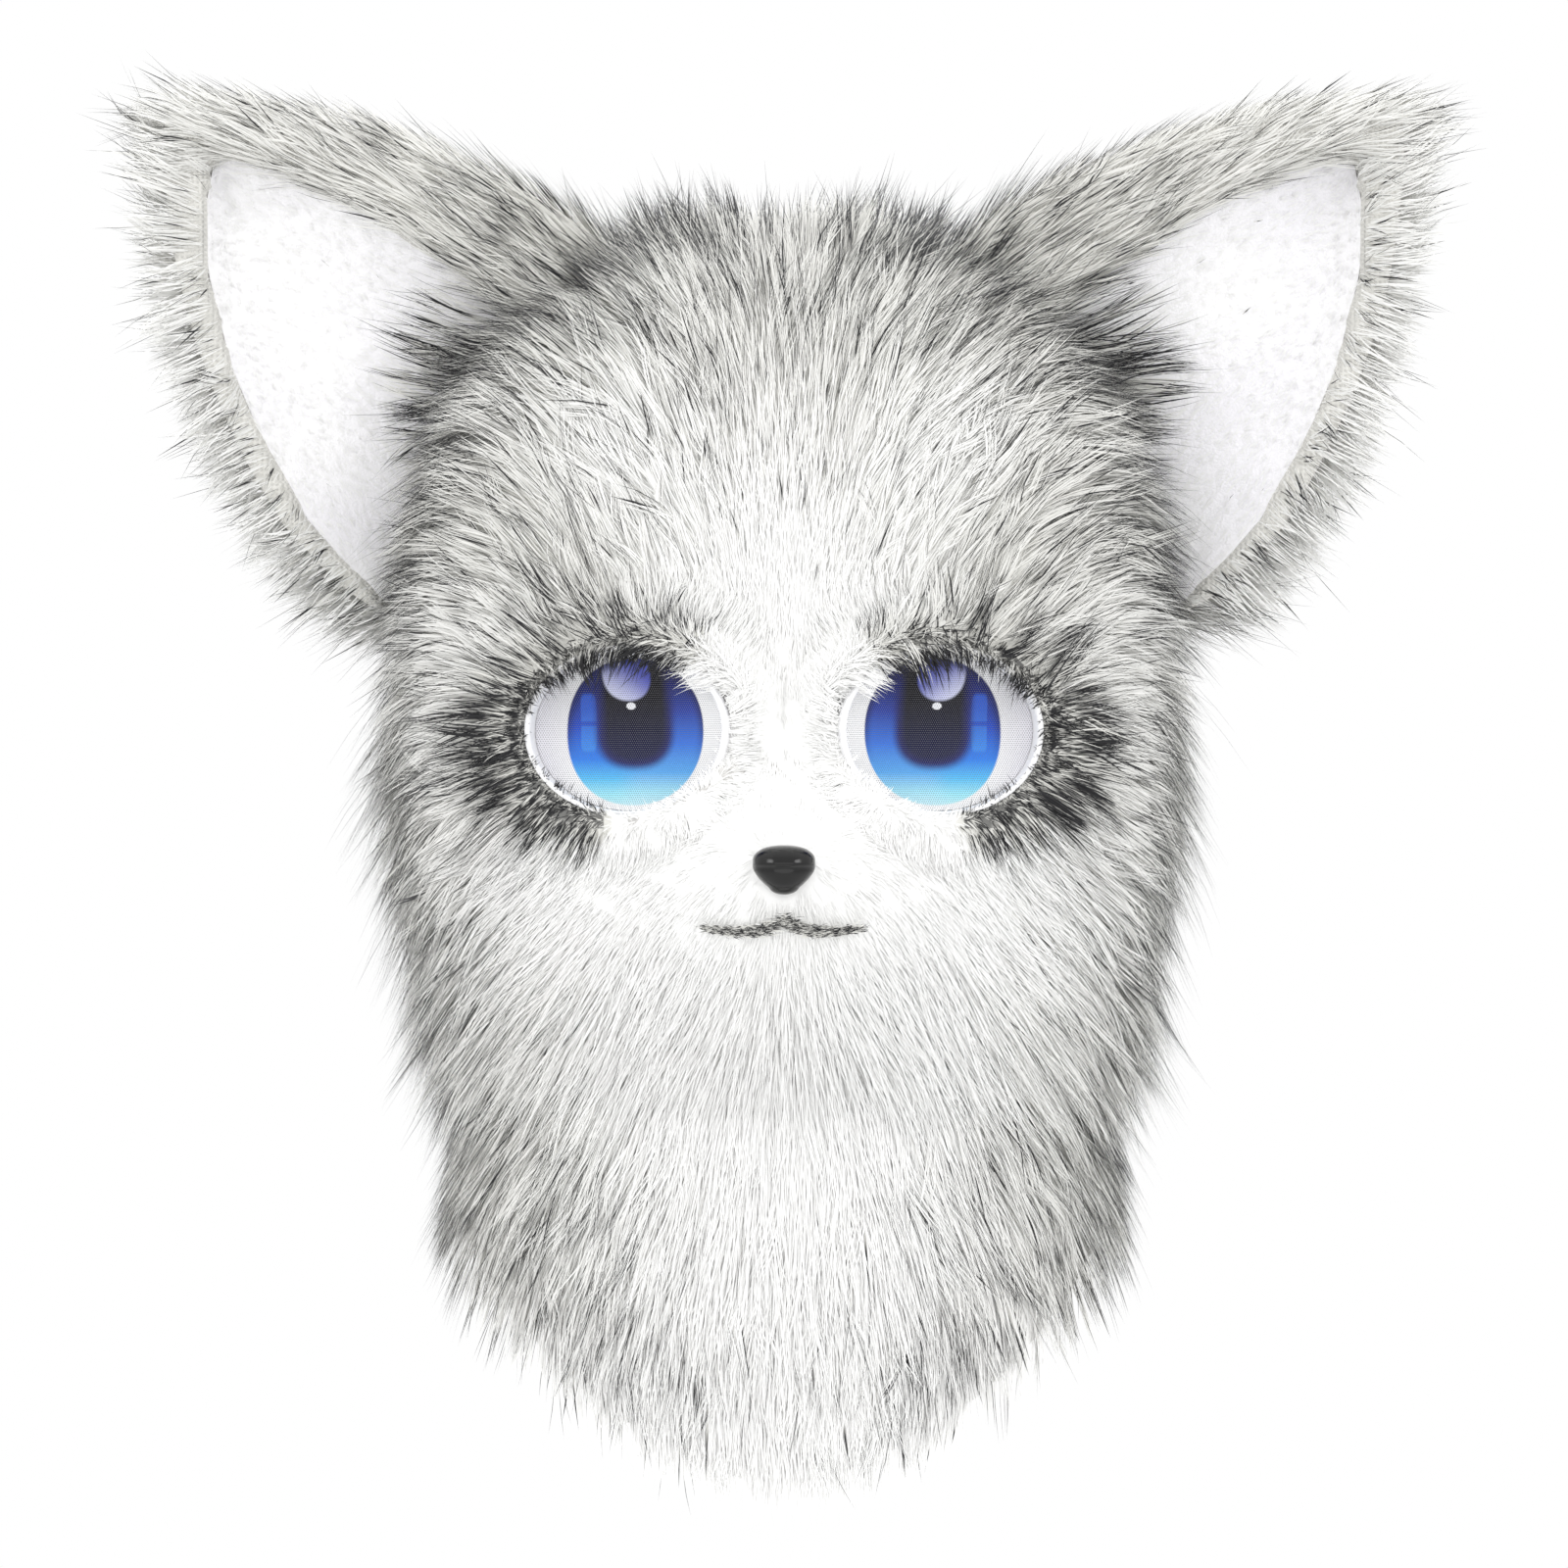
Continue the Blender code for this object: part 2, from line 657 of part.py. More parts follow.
def make_eye(side, tag, pierced):
    """Oval sleeve with a dished mesh in it, and the hole they fill in the pieces round them."""
    place = eye_matrix(side)
    squash = Matrix.Diagonal((1.0, EYE_HEIGHT / EYE_WIDTH, 1.0, 1.0))
    bore = EYE_WIDTH / 2
    lip = RIM_WALL / 3
    sleeve = turned("eye_rim_" + tag, (
        (bore, 0.0), (bore + lip, RIM_WALL / 2), (bore + 2 * lip, RIM_WALL / 2),
        (bore + RIM_WALL, 0.0), (bore + RIM_WALL, -RIM_DEPTH), (bore, -RIM_DEPTH), (bore, 0.0),
    ), RIM_STEPS)
    sleeve.transform(place @ squash)
    add_part("eye_rim_" + tag, sleeve, "white_plastic", smooth_angle=40)

    edge = bore - FIT
    middle = -SCREEN_RECESS - SCREEN_DISH
    halfway = -SCREEN_RECESS - SCREEN_DISH * (1 - 0.5 ** 2)
    screen = turned("eye_mesh_" + tag, (
        (0.0, middle), (edge / 2, halfway), (edge, -SCREEN_RECESS),
        (edge, -SCREEN_RECESS - SCREEN_WALL), (edge / 2, halfway - SCREEN_WALL),
        (0.0, middle - SCREEN_WALL),
    ), RIM_STEPS)
    screen.transform(place @ squash)
    add_part("eye_mesh_" + tag, screen, "printed_mesh", smooth_angle=40)

    outside = bore + RIM_WALL + FIT
    reach = FACE_FOAM + SHORT_PILE + RIM_DEPTH / 2
    hole = turned("eye_cutter_" + tag, (
        (0.0, CHEEK_LOCK), (outside, CHEEK_LOCK), (outside, -reach), (0.0, -reach),
    ), RIM_STEPS)
    hole.transform(place @ squash)
    cutter = add_cutter("eye_cutter_" + tag, hole)
    for piece in pierced:
        cut(piece, cutter)


def nose_mesh(name, grow):
    """Rounded triangular dome with a flat back, wide above and narrow below."""
    build = bmesh.new()
    bmesh.ops.create_uvsphere(build, u_segments=NOSE_SEGMENTS, v_segments=NOSE_RINGS, radius=1.0)
    seat = face_y(0.0, -NOSE_DROP, SKIN_GAP + SHORT_PILE) + NOSE_SEAT
    for vertex in build.verts:
        across, up = vertex.co.x, vertex.co.z
        taper = (1 + NOSE_TAPER * up) / (1 + NOSE_TAPER * NOSE_WIDEST)
        width = (NOSE_WIDTH / 2 + grow) * taper
        forward = min(vertex.co.y, 0.0)
        vertex.co = Vector((across * width,
                            seat + grow * (vertex.co.y > 0) + forward * NOSE_DEPTH,
                            -NOSE_DROP + up * (NOSE_HEIGHT / 2 + grow)))
    return close_mesh(name, build)


def make_nose(face):
    """Plastic nose, let into the face coat."""
    add_part("nose", nose_mesh("nose", 0.0), "black_plastic", smooth_angle=50)
    cut(face, add_cutter("nose_cutter", nose_mesh("nose_cutter", FIT)))


def make_mouth(face):
    """Wavy cord laid on the muzzle just off the face coat."""
    bpy.context.view_layer.update()
    graph = bpy.context.evaluated_depsgraph_get()
    surface = BVHTree.FromObject(face, graph)
    curve = bpy.data.curves.new("mouth_line", "CURVE")
    curve.dimensions = "3D"
    curve.bevel_depth = MOUTH_RADIUS
    curve.bevel_resolution = 2
    curve.use_fill_caps = True
    line = curve.splines.new("POLY")
    line.points.add(MOUTH_STEPS)
    for step in range(MOUTH_STEPS + 1):
        share = 2 * step / MOUTH_STEPS - 1
        wave = MOUTH_WAVE * (1 - abs(share) * MOUTH_FADE)
        dip = -0.5 * wave * math.cos(2 * math.pi * share)
        start = Vector((share * MOUTH_WIDTH / 2, -1.0, -MOUTH_DROP - dip))
        hit = surface.ray_cast(start, Vector((0, 1, 0)))
        point = hit[0] + hit[1].normalized() * (MOUTH_RADIUS + FIT)
        line.points[step].co = (*point, 1.0)
    guide = bpy.data.objects.new("mouth_guide", curve)
    CUTTERS.objects.link(guide)
    bpy.context.view_layer.update()
    graph = bpy.context.evaluated_depsgraph_get()
    tube = bpy.data.meshes.new_from_object(guide.evaluated_get(graph))
    bpy.data.objects.remove(guide)
    build = bmesh.new()
    build.from_mesh(tube)
    bpy.data.meshes.remove(tube)
    add_part("mouth_line", close_mesh("mouth_line", build), "grey_cord")


def ear_half_width(along):
    return EAR_HALF_WIDTH * read_outline(EAR_OUTLINE, along / EAR_LENGTH)


def ear_body_mesh(name, side, block):
    """Furry ear: a D-shaped section, flat in front, with locks drawn out of its back and rim
    where it stands clear of the head, whose solid is block."""
    root, along, across = ear_frame(side)
    head = BVHTree.FromPolygons([vertex.co for vertex in block.vertices],
                                [face.vertices for face in block.polygons])
    back = Vector((0, 1, 0))
    loops = []
    reaches = spread_evenly(-EAR_ROOT, EAR_LENGTH, EAR_ROWS)
    reaches[-2:] = [EAR_LENGTH * EAR_LAST_ROW, EAR_LENGTH]
    for row, reach in enumerate(reaches):
        half = ear_half_width(reach)
        depth = EAR_DEPTH * (half / EAR_HALF_WIDTH) ** EAR_THINNING
        loop = []
        for step in range(EAR_ARC + 1):
            turn = math.pi * step / EAR_ARC
            point = root + along * reach - across * (half * math.cos(turn))
            point += back * (depth * math.sin(turn))
            outward = back * math.sin(turn) - across * math.cos(turn)
            drawn = (step + row // 2) % 2 == 0 if 0 < step < EAR_ARC else True
            skin, normal, _, _ = head.find_nearest(point)
            clear = (point - skin).dot(normal) > EAR_LOCK / 4
            if row % 2 == 1 and drawn and clear and row < EAR_ROWS - 1:
                lock = EAR_LOCK * CHANCE.uniform(*LOCK_SPREAD)
                lock *= min(1.0, half / EAR_HALF_WIDTH + EAR_TIP_LOCK)
                point += (outward * PILE_RISE + along * PILE_LEAN) * lock
            loop.append(point)
        for step in range(1, EAR_FACE):
            share = 1 - 2 * step / EAR_FACE
            point = root + along * reach + across * (half * share)
            loop.append(point - back * (EAR_FRONT_BULGE * (1 - share * share)))
        loops.append(loop)
    return loft_mesh(name, loops)


def lining_grids(side, grow, front_at):
    """Front and back skins of an ear's cup, spread sideways by grow. front_at maps the cup's
    depth to how far back the front skin lies."""
    root, along, across = ear_frame(side)
    front, behind = [], []
    for row in range(LINING_ROWS + 1):
        reach = -EAR_ROOT + (LINING_LENGTH + grow + EAR_ROOT) * row / LINING_ROWS
        share = max(reach, 0.0) / (LINING_LENGTH + grow)
        width = read_outline(LINING_OUTLINE, share)
        inner, outer = LINING_INNER * width + grow, LINING_OUTER * width + grow
        deepest = LINING_CUP * math.sqrt(max(1 - share * share, 0.0))
        front_row, back_row = [], []
        for column in range(LINING_COLUMNS + 1):
            sweep = 2 * column / LINING_COLUMNS - 1
            centre, half = (outer - inner) / 2, (outer + inner) / 2
            flat = root + along * reach + across * (centre + half * sweep)
            cup = deepest * (1 - sweep * sweep)
            front_row.append(flat + Vector((0, front_at(cup), 0)))
            back_row.append(flat + Vector((0, cup + LINING_WALL + max(grow, 0.0), 0)))
        front.append(front_row)
        behind.append(back_row)
    return front, behind


def head_block_mesh(name):
    """Solid of the coated head without its locks, a seam wider all round, to cut the ears by."""
    return loft_mesh(name, head_loops(2 * SKIN_GAP + LONG_PILE))


def make_ear(side, tag):
    """Grey ear with a pocket in front, and the white padded cup that fills the pocket."""
    block = add_cutter("head_block_" + tag, head_block_mesh("head_block_" + tag))
    body = ear_body_mesh("ear_fur_" + tag, side, block.data)
    fur = add_part("ear_fur_" + tag, body, "grey_pile")
    pocket = slab_mesh("pocket_" + tag, *lining_grids(side, FIT, lambda cup: -EAR_DEPTH))
    cut(fur, add_cutter("pocket_" + tag, pocket))
    cut(fur, block)
    lining = slab_mesh("ear_lining_" + tag, *lining_grids(side, 0.0, lambda cup: cup))
    cut(add_part("ear_lining_" + tag, lining, "lining"), block)


def main():
    shell = make_shell()
    coats = make_head_coats()
    make_collar()
    make_ruff_and_bib()
    for side, tag, cheek in ((1, "left", "cheek_fur_left"), (-1, "right", "cheek_fur_right")):
        make_eye(side, tag, (shell, coats[cheek], coats["face_fur"]))
        make_ear(side, tag)
    make_nose(coats["face_fur"])
    make_mouth(coats["face_fur"])


remove_everything()
PARTS = make_collection("animal_costume_head")
CUTTERS = make_collection("cutters")
main()
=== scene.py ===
"""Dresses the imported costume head: its fur hair by hair, ears, eyes, nose, mouth and collar.

Metres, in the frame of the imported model: +Z up, the face towards -Y, +X to the wearer's left.
"""

import math
from collections import namedtuple

import bpy
import numpy as np
from mathutils import Matrix, Vector
from mathutils.kdtree import KDTree


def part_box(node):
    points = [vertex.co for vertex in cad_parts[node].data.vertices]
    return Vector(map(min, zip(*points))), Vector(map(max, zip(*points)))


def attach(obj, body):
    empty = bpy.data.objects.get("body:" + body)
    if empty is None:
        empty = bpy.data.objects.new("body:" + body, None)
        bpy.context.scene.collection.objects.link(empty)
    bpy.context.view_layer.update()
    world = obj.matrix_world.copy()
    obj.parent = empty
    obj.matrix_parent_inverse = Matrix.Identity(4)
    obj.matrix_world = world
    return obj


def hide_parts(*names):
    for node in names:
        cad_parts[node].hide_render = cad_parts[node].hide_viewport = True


bl_info = {
    "name": "Animal costume head",
    "version": (1, 0, 0),
    "blender": (4, 5, 0),
    "location": "View3D > Sidebar > Costume head",
    "description": "Builds the fur, ears, eyes and face of a hollow animal costume head",
    "category": "Object",
}

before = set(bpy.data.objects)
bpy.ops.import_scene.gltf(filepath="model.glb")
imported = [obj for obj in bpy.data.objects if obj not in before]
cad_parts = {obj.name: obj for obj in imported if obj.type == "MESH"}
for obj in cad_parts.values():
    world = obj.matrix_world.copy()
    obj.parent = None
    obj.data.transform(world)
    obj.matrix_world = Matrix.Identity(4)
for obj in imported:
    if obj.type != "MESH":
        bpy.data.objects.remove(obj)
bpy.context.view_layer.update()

SIDES = ((1, "left"), (-1, "right"))

# The padded form under the coat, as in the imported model. Level is a share of its height; the
# others are shares of half the width and of the reach to the front and back.
FormSection = namedtuple("FormSection", "level side front back")
FORM = (
    FormSection(0.000, 0.00, 0.00, 0.00),
    FormSection(0.035, 0.38, 0.38, 0.38),
    FormSection(0.125, 0.70, 0.70, 0.70),
    FormSection(0.265, 0.895, 0.88, 0.90),
    FormSection(0.420, 0.975, 0.97, 0.985),
    FormSection(0.575, 1.00, 1.00, 1.00),
    FormSection(0.725, 0.975, 1.00, 0.96),
    FormSection(0.865, 0.915, 0.97, 0.87),
    FormSection(1.000, 0.86, 0.90, 0.80),
)
# Share of the bib's length that the collar drops, evenly from the front round to the back.
HEM = (1.00, 0.845, 0.55, 0.385, 0.35, 0.335, 0.333)
# Half the angle of the white face, evenly from the crown seam down to the rim, in degrees.
FACE_EDGE = (14, 14, 18, 33, 50, 52, 52)

EarSection = namedtuple("EarSection", "reach width")
EAR_OUTLINE = (
    EarSection(0.00, 1.00),
    EarSection(0.15, 0.99),
    EarSection(0.30, 0.91),
    EarSection(0.45, 0.80),
    EarSection(0.60, 0.66),
    EarSection(0.75, 0.47),
    EarSection(0.88, 0.26),
    EarSection(0.96, 0.11),
    EarSection(1.00, 0.00),
)
CUSHION_OUTLINE = (
    EarSection(0.00, 1.00),
    EarSection(0.15, 0.98),
    EarSection(0.35, 0.88),
    EarSection(0.58, 0.70),
    EarSection(0.80, 0.44),
    EarSection(0.93, 0.20),
    EarSection(1.00, 0.00),
)

# How far the ears' bodies and cushions reach back into the head from their roots.
EAR_ROOT = 0.070
# Side of the square that an eye's print is mapped on.
PRINT_SQUARE = 0.080
# How far round its place a stroke and a shade of the tables below count, in metres, and how much
# less a shade minds how far back it lies.
STROKE_REACH = 0.020
SHADE_REACH = 0.013
SHADE_DEPTH = 0.5

# The nose, from its lower end (-1) to its upper end (1).
NOSE_WIDTHS = ((-1.0, 0.80), (-0.72, 0.68), (-0.37, 0.82), (-0.02, 0.95), (0.33, 1.03),
               (0.77, 1.24), (1.0, 1.45))
NOSE_REACHES = ((-1.0, 0.62), (-0.6, 0.76), (-0.05, 0.82), (0.10, 0.80), (0.22, 1.0),
                (0.5, 1.0), (1.0, 0.9))
# Height of the mouth line over its own level, from its middle (0) to its corner (1).
MOUTH_CURVE = ((0.0, 0.0072), (0.10, 0.0067), (0.22, 0.0051), (0.46, 0.0041), (0.75, 0.0042),
               (1.0, 0.0047))

# How the coat is combed: at a place on the head (millimetres, mirrored across X), the way the
# hair lies, its length and how far it stands up (0 flat, 1 upright).
Stroke = namedtuple("Stroke", "x y z dx dy dz length rise")
HEAD_STROKES = (
    Stroke(0, -150, -152, 0.0, 0.3, 1.0, 7, 0.26),
    Stroke(0, -120, -122, 0.0, 0.2, 1.0, 9, 0.28),
    Stroke(0, -106, -88, 0.0, 0.1, 1.0, 13, 0.32),
    Stroke(0, -98, -55, 0.0, 0.2, 1.0, 24, 0.30),
    Stroke(0, -86, -22, 0.0, 0.4, 0.9, 36, 0.30),
    Stroke(0, -58, 12, 0.0, 0.7, 0.6, 42, 0.38),
    Stroke(0, 0, 37, 0.0, 1.0, 0.1, 32, 0.46),
    Stroke(36, -18, 33, 0.1, 0.3, 1.0, 46, 0.85),
    Stroke(38, -72, -8, 0.6, 0.4, 0.8, 42, 0.34),
    Stroke(45, -40, 18, 0.6, 0.5, 0.6, 44, 0.42),
    Stroke(50, -86, -40, 0.5, 0.2, 0.9, 32, 0.30),
    Stroke(30, -96, -70, 0.4, 0.1, 0.9, 20, 0.28),
    Stroke(56, -98, -80, 0.4, 0.1, 1.0, 20, 0.34),
    Stroke(88, -78, -86, 0.9, 0.3, 0.6, 30, 0.34),
    Stroke(102, -62, -122, 1.0, 0.4, -0.1, 28, 0.46),
    Stroke(22, -112, -124, -0.6, 0.0, 0.8, 8, 0.28),
    Stroke(56, -104, -160, 0.7, 0.2, -0.7, 9, 0.24),
    Stroke(34, -140, -176, 0.9, 0.4, -0.2, 7, 0.26),
    Stroke(0, -150, -190, 0.0, 0.1, -1.0, 6, 0.24),
    Stroke(26, -144, -198, 0.6, 0.3, -0.7, 8, 0.26),
    Stroke(0, -138, -214, 0.0, 0.1, -1.0, 20, 0.24),
    Stroke(26, -128, -216, 0.3, 0.1, -1.0, 22, 0.24),
    Stroke(0, -112, -230, 0.0, -0.1, -1.0, 50, 0.24),
    Stroke(44, -104, -226, 0.4, 0.0, -1.0, 52, 0.26),
    Stroke(74, -88, -188, 0.9, 0.3, -0.7, 26, 0.28),
    Stroke(76, -76, -226, 0.6, 0.0, -1.0, 54, 0.32),
    Stroke(94, -62, -166, 0.9, 0.3, -0.5, 38, 0.40),
    Stroke(115, -10, -132, 0.9, 0.1, -0.6, 52, 0.46),
    Stroke(102, -30, -205, 0.8, 0.0, -0.8, 52, 0.50),
    Stroke(98, -10, -232, 0.5, 0.0, -1.0, 44, 0.34),
    Stroke(106, -44, -76, 1.0, 0.1, -0.1, 42, 0.50),
    Stroke(84, -52, -22, 1.0, -0.1, 0.3, 50, 0.38),
    Stroke(100, -34, -34, 1.0, -0.2, -0.1, 48, 0.50),
    Stroke(72, -30, 12, 1.0, -0.1, 0.4, 46, 0.55),
    Stroke(110, 60, -80, 0.7, 0.5, -0.7, 46, 0.50),
    Stroke(100, 50, -190, 0.7, 0.4, -0.8, 50, 0.50),
    Stroke(0, 78, 8, 0.0, 0.8, -0.5, 42, 0.55),
    Stroke(58, 50, 8, 0.6, 0.7, -0.2, 42, 0.58),
    Stroke(0, 122, -100, 0.0, 0.4, -1.0, 46, 0.46),
    Stroke(0, 104, -200, 0.0, 0.3, -1.0, 48, 0.46),
    Stroke(80, 96, -130, 0.4, 0.4, -0.9, 48, 0.46),
)
COLLAR_STROKES = (
    Stroke(0, -104, -244, 0.0, -0.1, -1.0, 30, 0.22),
    Stroke(0, -112, -300, 0.0, -0.1, -1.0, 44, 0.32),
    Stroke(0, -112, -350, 0.0, -0.1, -1.0, 32, 0.26),
    Stroke(0, -112, -385, 0.0, 0.0, -1.0, 17, 0.18),
    Stroke(38, -106, -262, 0.3, -0.1, -1.0, 38, 0.28),
    Stroke(36, -108, -330, 0.1, -0.1, -1.0, 34, 0.26),
    Stroke(30, -108, -366, -0.1, 0.0, -1.0, 22, 0.20),
    Stroke(52, -98, -300, 0.4, -0.1, -1.0, 40, 0.32),
    Stroke(62, -92, -345, -0.3, 0.0, -1.0, 20, 0.20),
    Stroke(66, -84, -258, 0.6, -0.1, -0.9, 42, 0.30),
    Stroke(90, -50, -252, 0.7, 0.0, -0.8, 42, 0.34),
    Stroke(88, -60, -300, 0.0, 0.0, -1.0, 28, 0.24),
    Stroke(104, 0, -250, 0.6, 0.1, -0.9, 38, 0.34),
    Stroke(108, 0, -285, 0.0, 0.0, -1.0, 32, 0.26),
    Stroke(80, 70, -252, 0.4, 0.3, -1.0, 44, 0.34),
    Stroke(80, 76, -282, 0.0, 0.1, -1.0, 32, 0.26),
    Stroke(0, 104, -252, 0.0, 0.3, -1.0, 44, 0.34),
    Stroke(0, 108, -282, 0.0, 0.1, -1.0, 32, 0.26),
)
# The same for an ear, in its own frame: across it (outward and down), back, and along its axis.
EAR_STROKES = (
    Stroke(-56, -2, 20, 0.32, -0.1, 1.0, 28, 0.22),
    Stroke(-46, -2, 70, 0.32, -0.1, 1.0, 26, 0.22),
    Stroke(-28, -2, 110, 0.35, -0.1, 1.0, 24, 0.26),
    Stroke(0, -1, 150, 0.5, -0.1, 1.0, 26, 0.34),
    Stroke(74, -2, 10, 1.0, -0.1, 0.1, 25, 0.34),
    Stroke(65, -2, 60, 1.0, -0.1, 0.3, 24, 0.34),
    Stroke(46, -2, 100, 0.9, -0.1, 0.5, 24, 0.36),
    Stroke(22, -2, 130, 0.6, -0.1, 0.8, 24, 0.38),
    Stroke(-77, 12, 10, -0.1, 0.1, 1.0, 24, 0.32),
    Stroke(-62, 12, 70, 0.05, 0.1, 1.0, 20, 0.28),
    Stroke(-36, 8, 120, 0.15, 0.0, 1.0, 22, 0.30),
    Stroke(77, 12, 0, 1.0, 0.1, 0.0, 38, 0.52),
    Stroke(70, 12, 50, 1.0, 0.1, 0.1, 36, 0.52),
    Stroke(50, 8, 100, 0.9, 0.1, 0.4, 32, 0.50),
    Stroke(10, 6, 155, 0.6, 0.1, 0.9, 30, 0.46),
    Stroke(0, 50, 0, 0.0, 0.3, 1.0, 30, 0.42),
    Stroke(-44, 40, 40, -0.4, 0.3, 0.9, 28, 0.42),
    Stroke(44, 40, 40, 0.4, 0.3, 0.9, 30, 0.42),
    Stroke(0, 32, 110, 0.0, 0.3, 1.0, 28, 0.42),
)
# Colour of the coat by its roots' place: grey runs from 0 white to 1 cream-grey, and dark is the
# share of hairs that have charcoal tips.
Shade = namedtuple("Shade", "x y z grey dark")
HEAD_SHADES = (
    Shade(0, -14, 36, 0.60, 0.12),
    Shade(34, -20, 33, 0.90, 0.95),
    Shade(12, -70, 10, 0.60, 0.26),
    Shade(0, -80, -12, 0.55, 0.22),
    Shade(30, -74, -2, 0.55, 0.30),
    Shade(58, -50, 8, 0.75, 0.42),
    Shade(74, -36, 4, 0.95, 0.80),
    Shade(86, -44, -14, 0.80, 0.46),
    Shade(70, -64, -20, 0.45, 0.26),
    Shade(0, -92, -34, 0.30, 0.08),
    Shade(28, -86, -32, 0.42, 0.16),
    Shade(50, -84, -40, 0.16, 0.08),
    Shade(26, -94, -56, 0.30, 0.10),
    Shade(48, -94, -62, 0.42, 0.14),
    Shade(80, -70, -50, 0.60, 0.26),
    Shade(100, -44, -50, 0.70, 0.38),
    Shade(0, -100, -60, 0.00, 0.00),
    Shade(0, -112, -100, 0.00, 0.00),
    Shade(24, -106, -92, 0.06, 0.00),
    Shade(72, -88, -74, 0.60, 0.30),
    Shade(96, -62, -96, 0.42, 0.16),
    Shade(112, -34, -100, 0.60, 0.34),
    Shade(104, -58, -126, 0.40, 0.16),
    Shade(116, -20, -136, 0.62, 0.34),
    Shade(98, -64, -148, 0.55, 0.26),
    Shade(112, -30, -168, 0.62, 0.36),
    Shade(86, -80, -160, 0.16, 0.06),
    Shade(64, -98, -168, 0.02, 0.00),
    Shade(20, -140, -150, 0.00, 0.00),
    Shade(0, -150, -180, 0.00, 0.00),
    Shade(40, -130, -186, 0.00, 0.00),
    Shade(78, -84, -186, 0.06, 0.02),
    Shade(94, -60, -194, 0.42, 0.24),
    Shade(108, -20, -204, 0.62, 0.42),
    Shade(0, -132, -214, 0.00, 0.00),
    Shade(40, -112, -214, 0.02, 0.00),
    Shade(0, -104, -234, 0.00, 0.00),
    Shade(46, -100, -234, 0.16, 0.02),
    Shade(74, -78, -218, 0.40, 0.12),
    Shade(90, -56, -232, 0.50, 0.22),
    Shade(104, 0, -232, 0.65, 0.40),
    Shade(0, 90, 8, 0.85, 0.50),
    Shade(80, 60, -20, 0.85, 0.55),
    Shade(0, 120, -110, 0.80, 0.48),
    Shade(90, 80, -110, 0.80, 0.48),
    Shade(0, 104, -210, 0.80, 0.48),
    Shade(80, 70, -210, 0.80, 0.48),
)
COLLAR_SHADES = (
    Shade(0, -104, -244, 0.02, 0.00),
    Shade(30, -106, -250, 0.06, 0.00),
    Shade(0, -110, -310, 0.00, 0.00),
    Shade(26, -108, -290, 0.02, 0.00),
    Shade(0, -112, -375, 0.00, 0.00),
    Shade(20, -112, -360, 0.02, 0.01),
    Shade(38, -106, -322, 0.16, 0.14),
    Shade(46, -102, -352, 0.08, 0.05),
    Shade(46, -100, -276, 0.26, 0.08),
    Shade(62, -90, -262, 0.45, 0.14),
    Shade(62, -92, -300, 0.45, 0.22),
    Shade(66, -86, -330, 0.22, 0.10),
    Shade(84, -60, -256, 0.60, 0.30),
    Shade(88, -54, -290, 0.55, 0.36),
    Shade(104, 0, -262, 0.65, 0.42),
    Shade(80, 70, -262, 0.80, 0.50),
    Shade(0, 104, -262, 0.80, 0.48),
)
EAR_SHADES = (
    Shade(-56, -2, 20, 0.75, 0.42),
    Shade(-46, -2, 70, 0.66, 0.24),
    Shade(-28, -2, 110, 0.60, 0.18),
    Shade(0, -1, 150, 0.50, 0.16),
    Shade(74, -2, 10, 0.30, 0.03),
    Shade(65, -2, 60, 0.30, 0.03),
    Shade(46, -2, 100, 0.30, 0.04),
    Shade(22, -2, 130, 0.32, 0.06),
    Shade(-77, 12, 10, 0.90, 0.95),
    Shade(-62, 12, 70, 0.65, 0.44),
    Shade(-36, 8, 120, 0.50, 0.22),
    Shade(77, 12, 0, 0.30, 0.14),
    Shade(70, 12, 50, 0.28, 0.12),
    Shade(50, 8, 100, 0.28, 0.12),
    Shade(10, 6, 155, 0.32, 0.17),
    Shade(0, 50, 40, 0.80, 0.45),
    Shade(0, 32, 110, 0.75, 0.40),
)

# How each coat is grown: its number of roots, a hair's segments and width, how many locks and
# tufts gather the hair and how strongly, how far it falls, and the share of stray hair. The roots
# of forelock and fringe are what is kept of ROOT_TRIES; the others are what is tried.
Hair = namedtuple("Hair", "roots segments width locks tufts lock_pull tuft_pull fall stray")
HAIR = {
    "crown": Hair(21000, 3, 0.00046, 1500, 200, 0.52, 0.25, 0.30, 0.04),
    "back": Hair(18000, 3, 0.00046, 1500, 200, 0.52, 0.25, 0.30, 0.04),
    "face": Hair(38000, 3, 0.00040, 7000, 700, 0.14, 0.0, 0.10, 0.012),
    "cheek": Hair(22000, 4, 0.00046, 1500, 200, 0.66, 0.25, 0.30, 0.04),
    "bib": Hair(11000, 4, 0.00046, 1100, 130, 0.40, 0.25, 0.25, 0.03),
    "ruff": Hair(12500, 4, 0.00048, 1100, 190, 0.52, 0.30, 0.30, 0.04),
    "ear": Hair(20000, 3, 0.00046, 1500, 220, 0.42, 0.20, 0.05, 0.04),
    "plush": Hair(12000, 2, 0.00044, 1800, 200, 0.30, 0.15, 0.0, 0.012),
    "forelock": Hair(2600, 4, 0.00046, 120, 24, 0.62, 0.30, 0.12, 0.05),
    "fringe": Hair(6000, 3, 0.00040, 900, 120, 0.30, 0.12, 0.05, 0.02),
    "mouth": Hair(60000, 2, 0.00036, 260, 60, 0.0, 0.0, 0.0, 0.0),
}
ROOT_TRIES = 40000
WELT_ROOTS = 3800
UNDERCOAT = 0.34

# Seeds of the random draws, which place the roots and then shape the hair.
ROOT_SEEDS = {"coat": 11, "collar": 21, "ear": 30, "mouth": 41, "eye": 50, "wool": 7}
HAIR_SEEDS = {"coat": 100, "collar": 200, "ear": 300, "plush": 320, "forelock": 340,
              "mouth": 400, "fringe": 500}


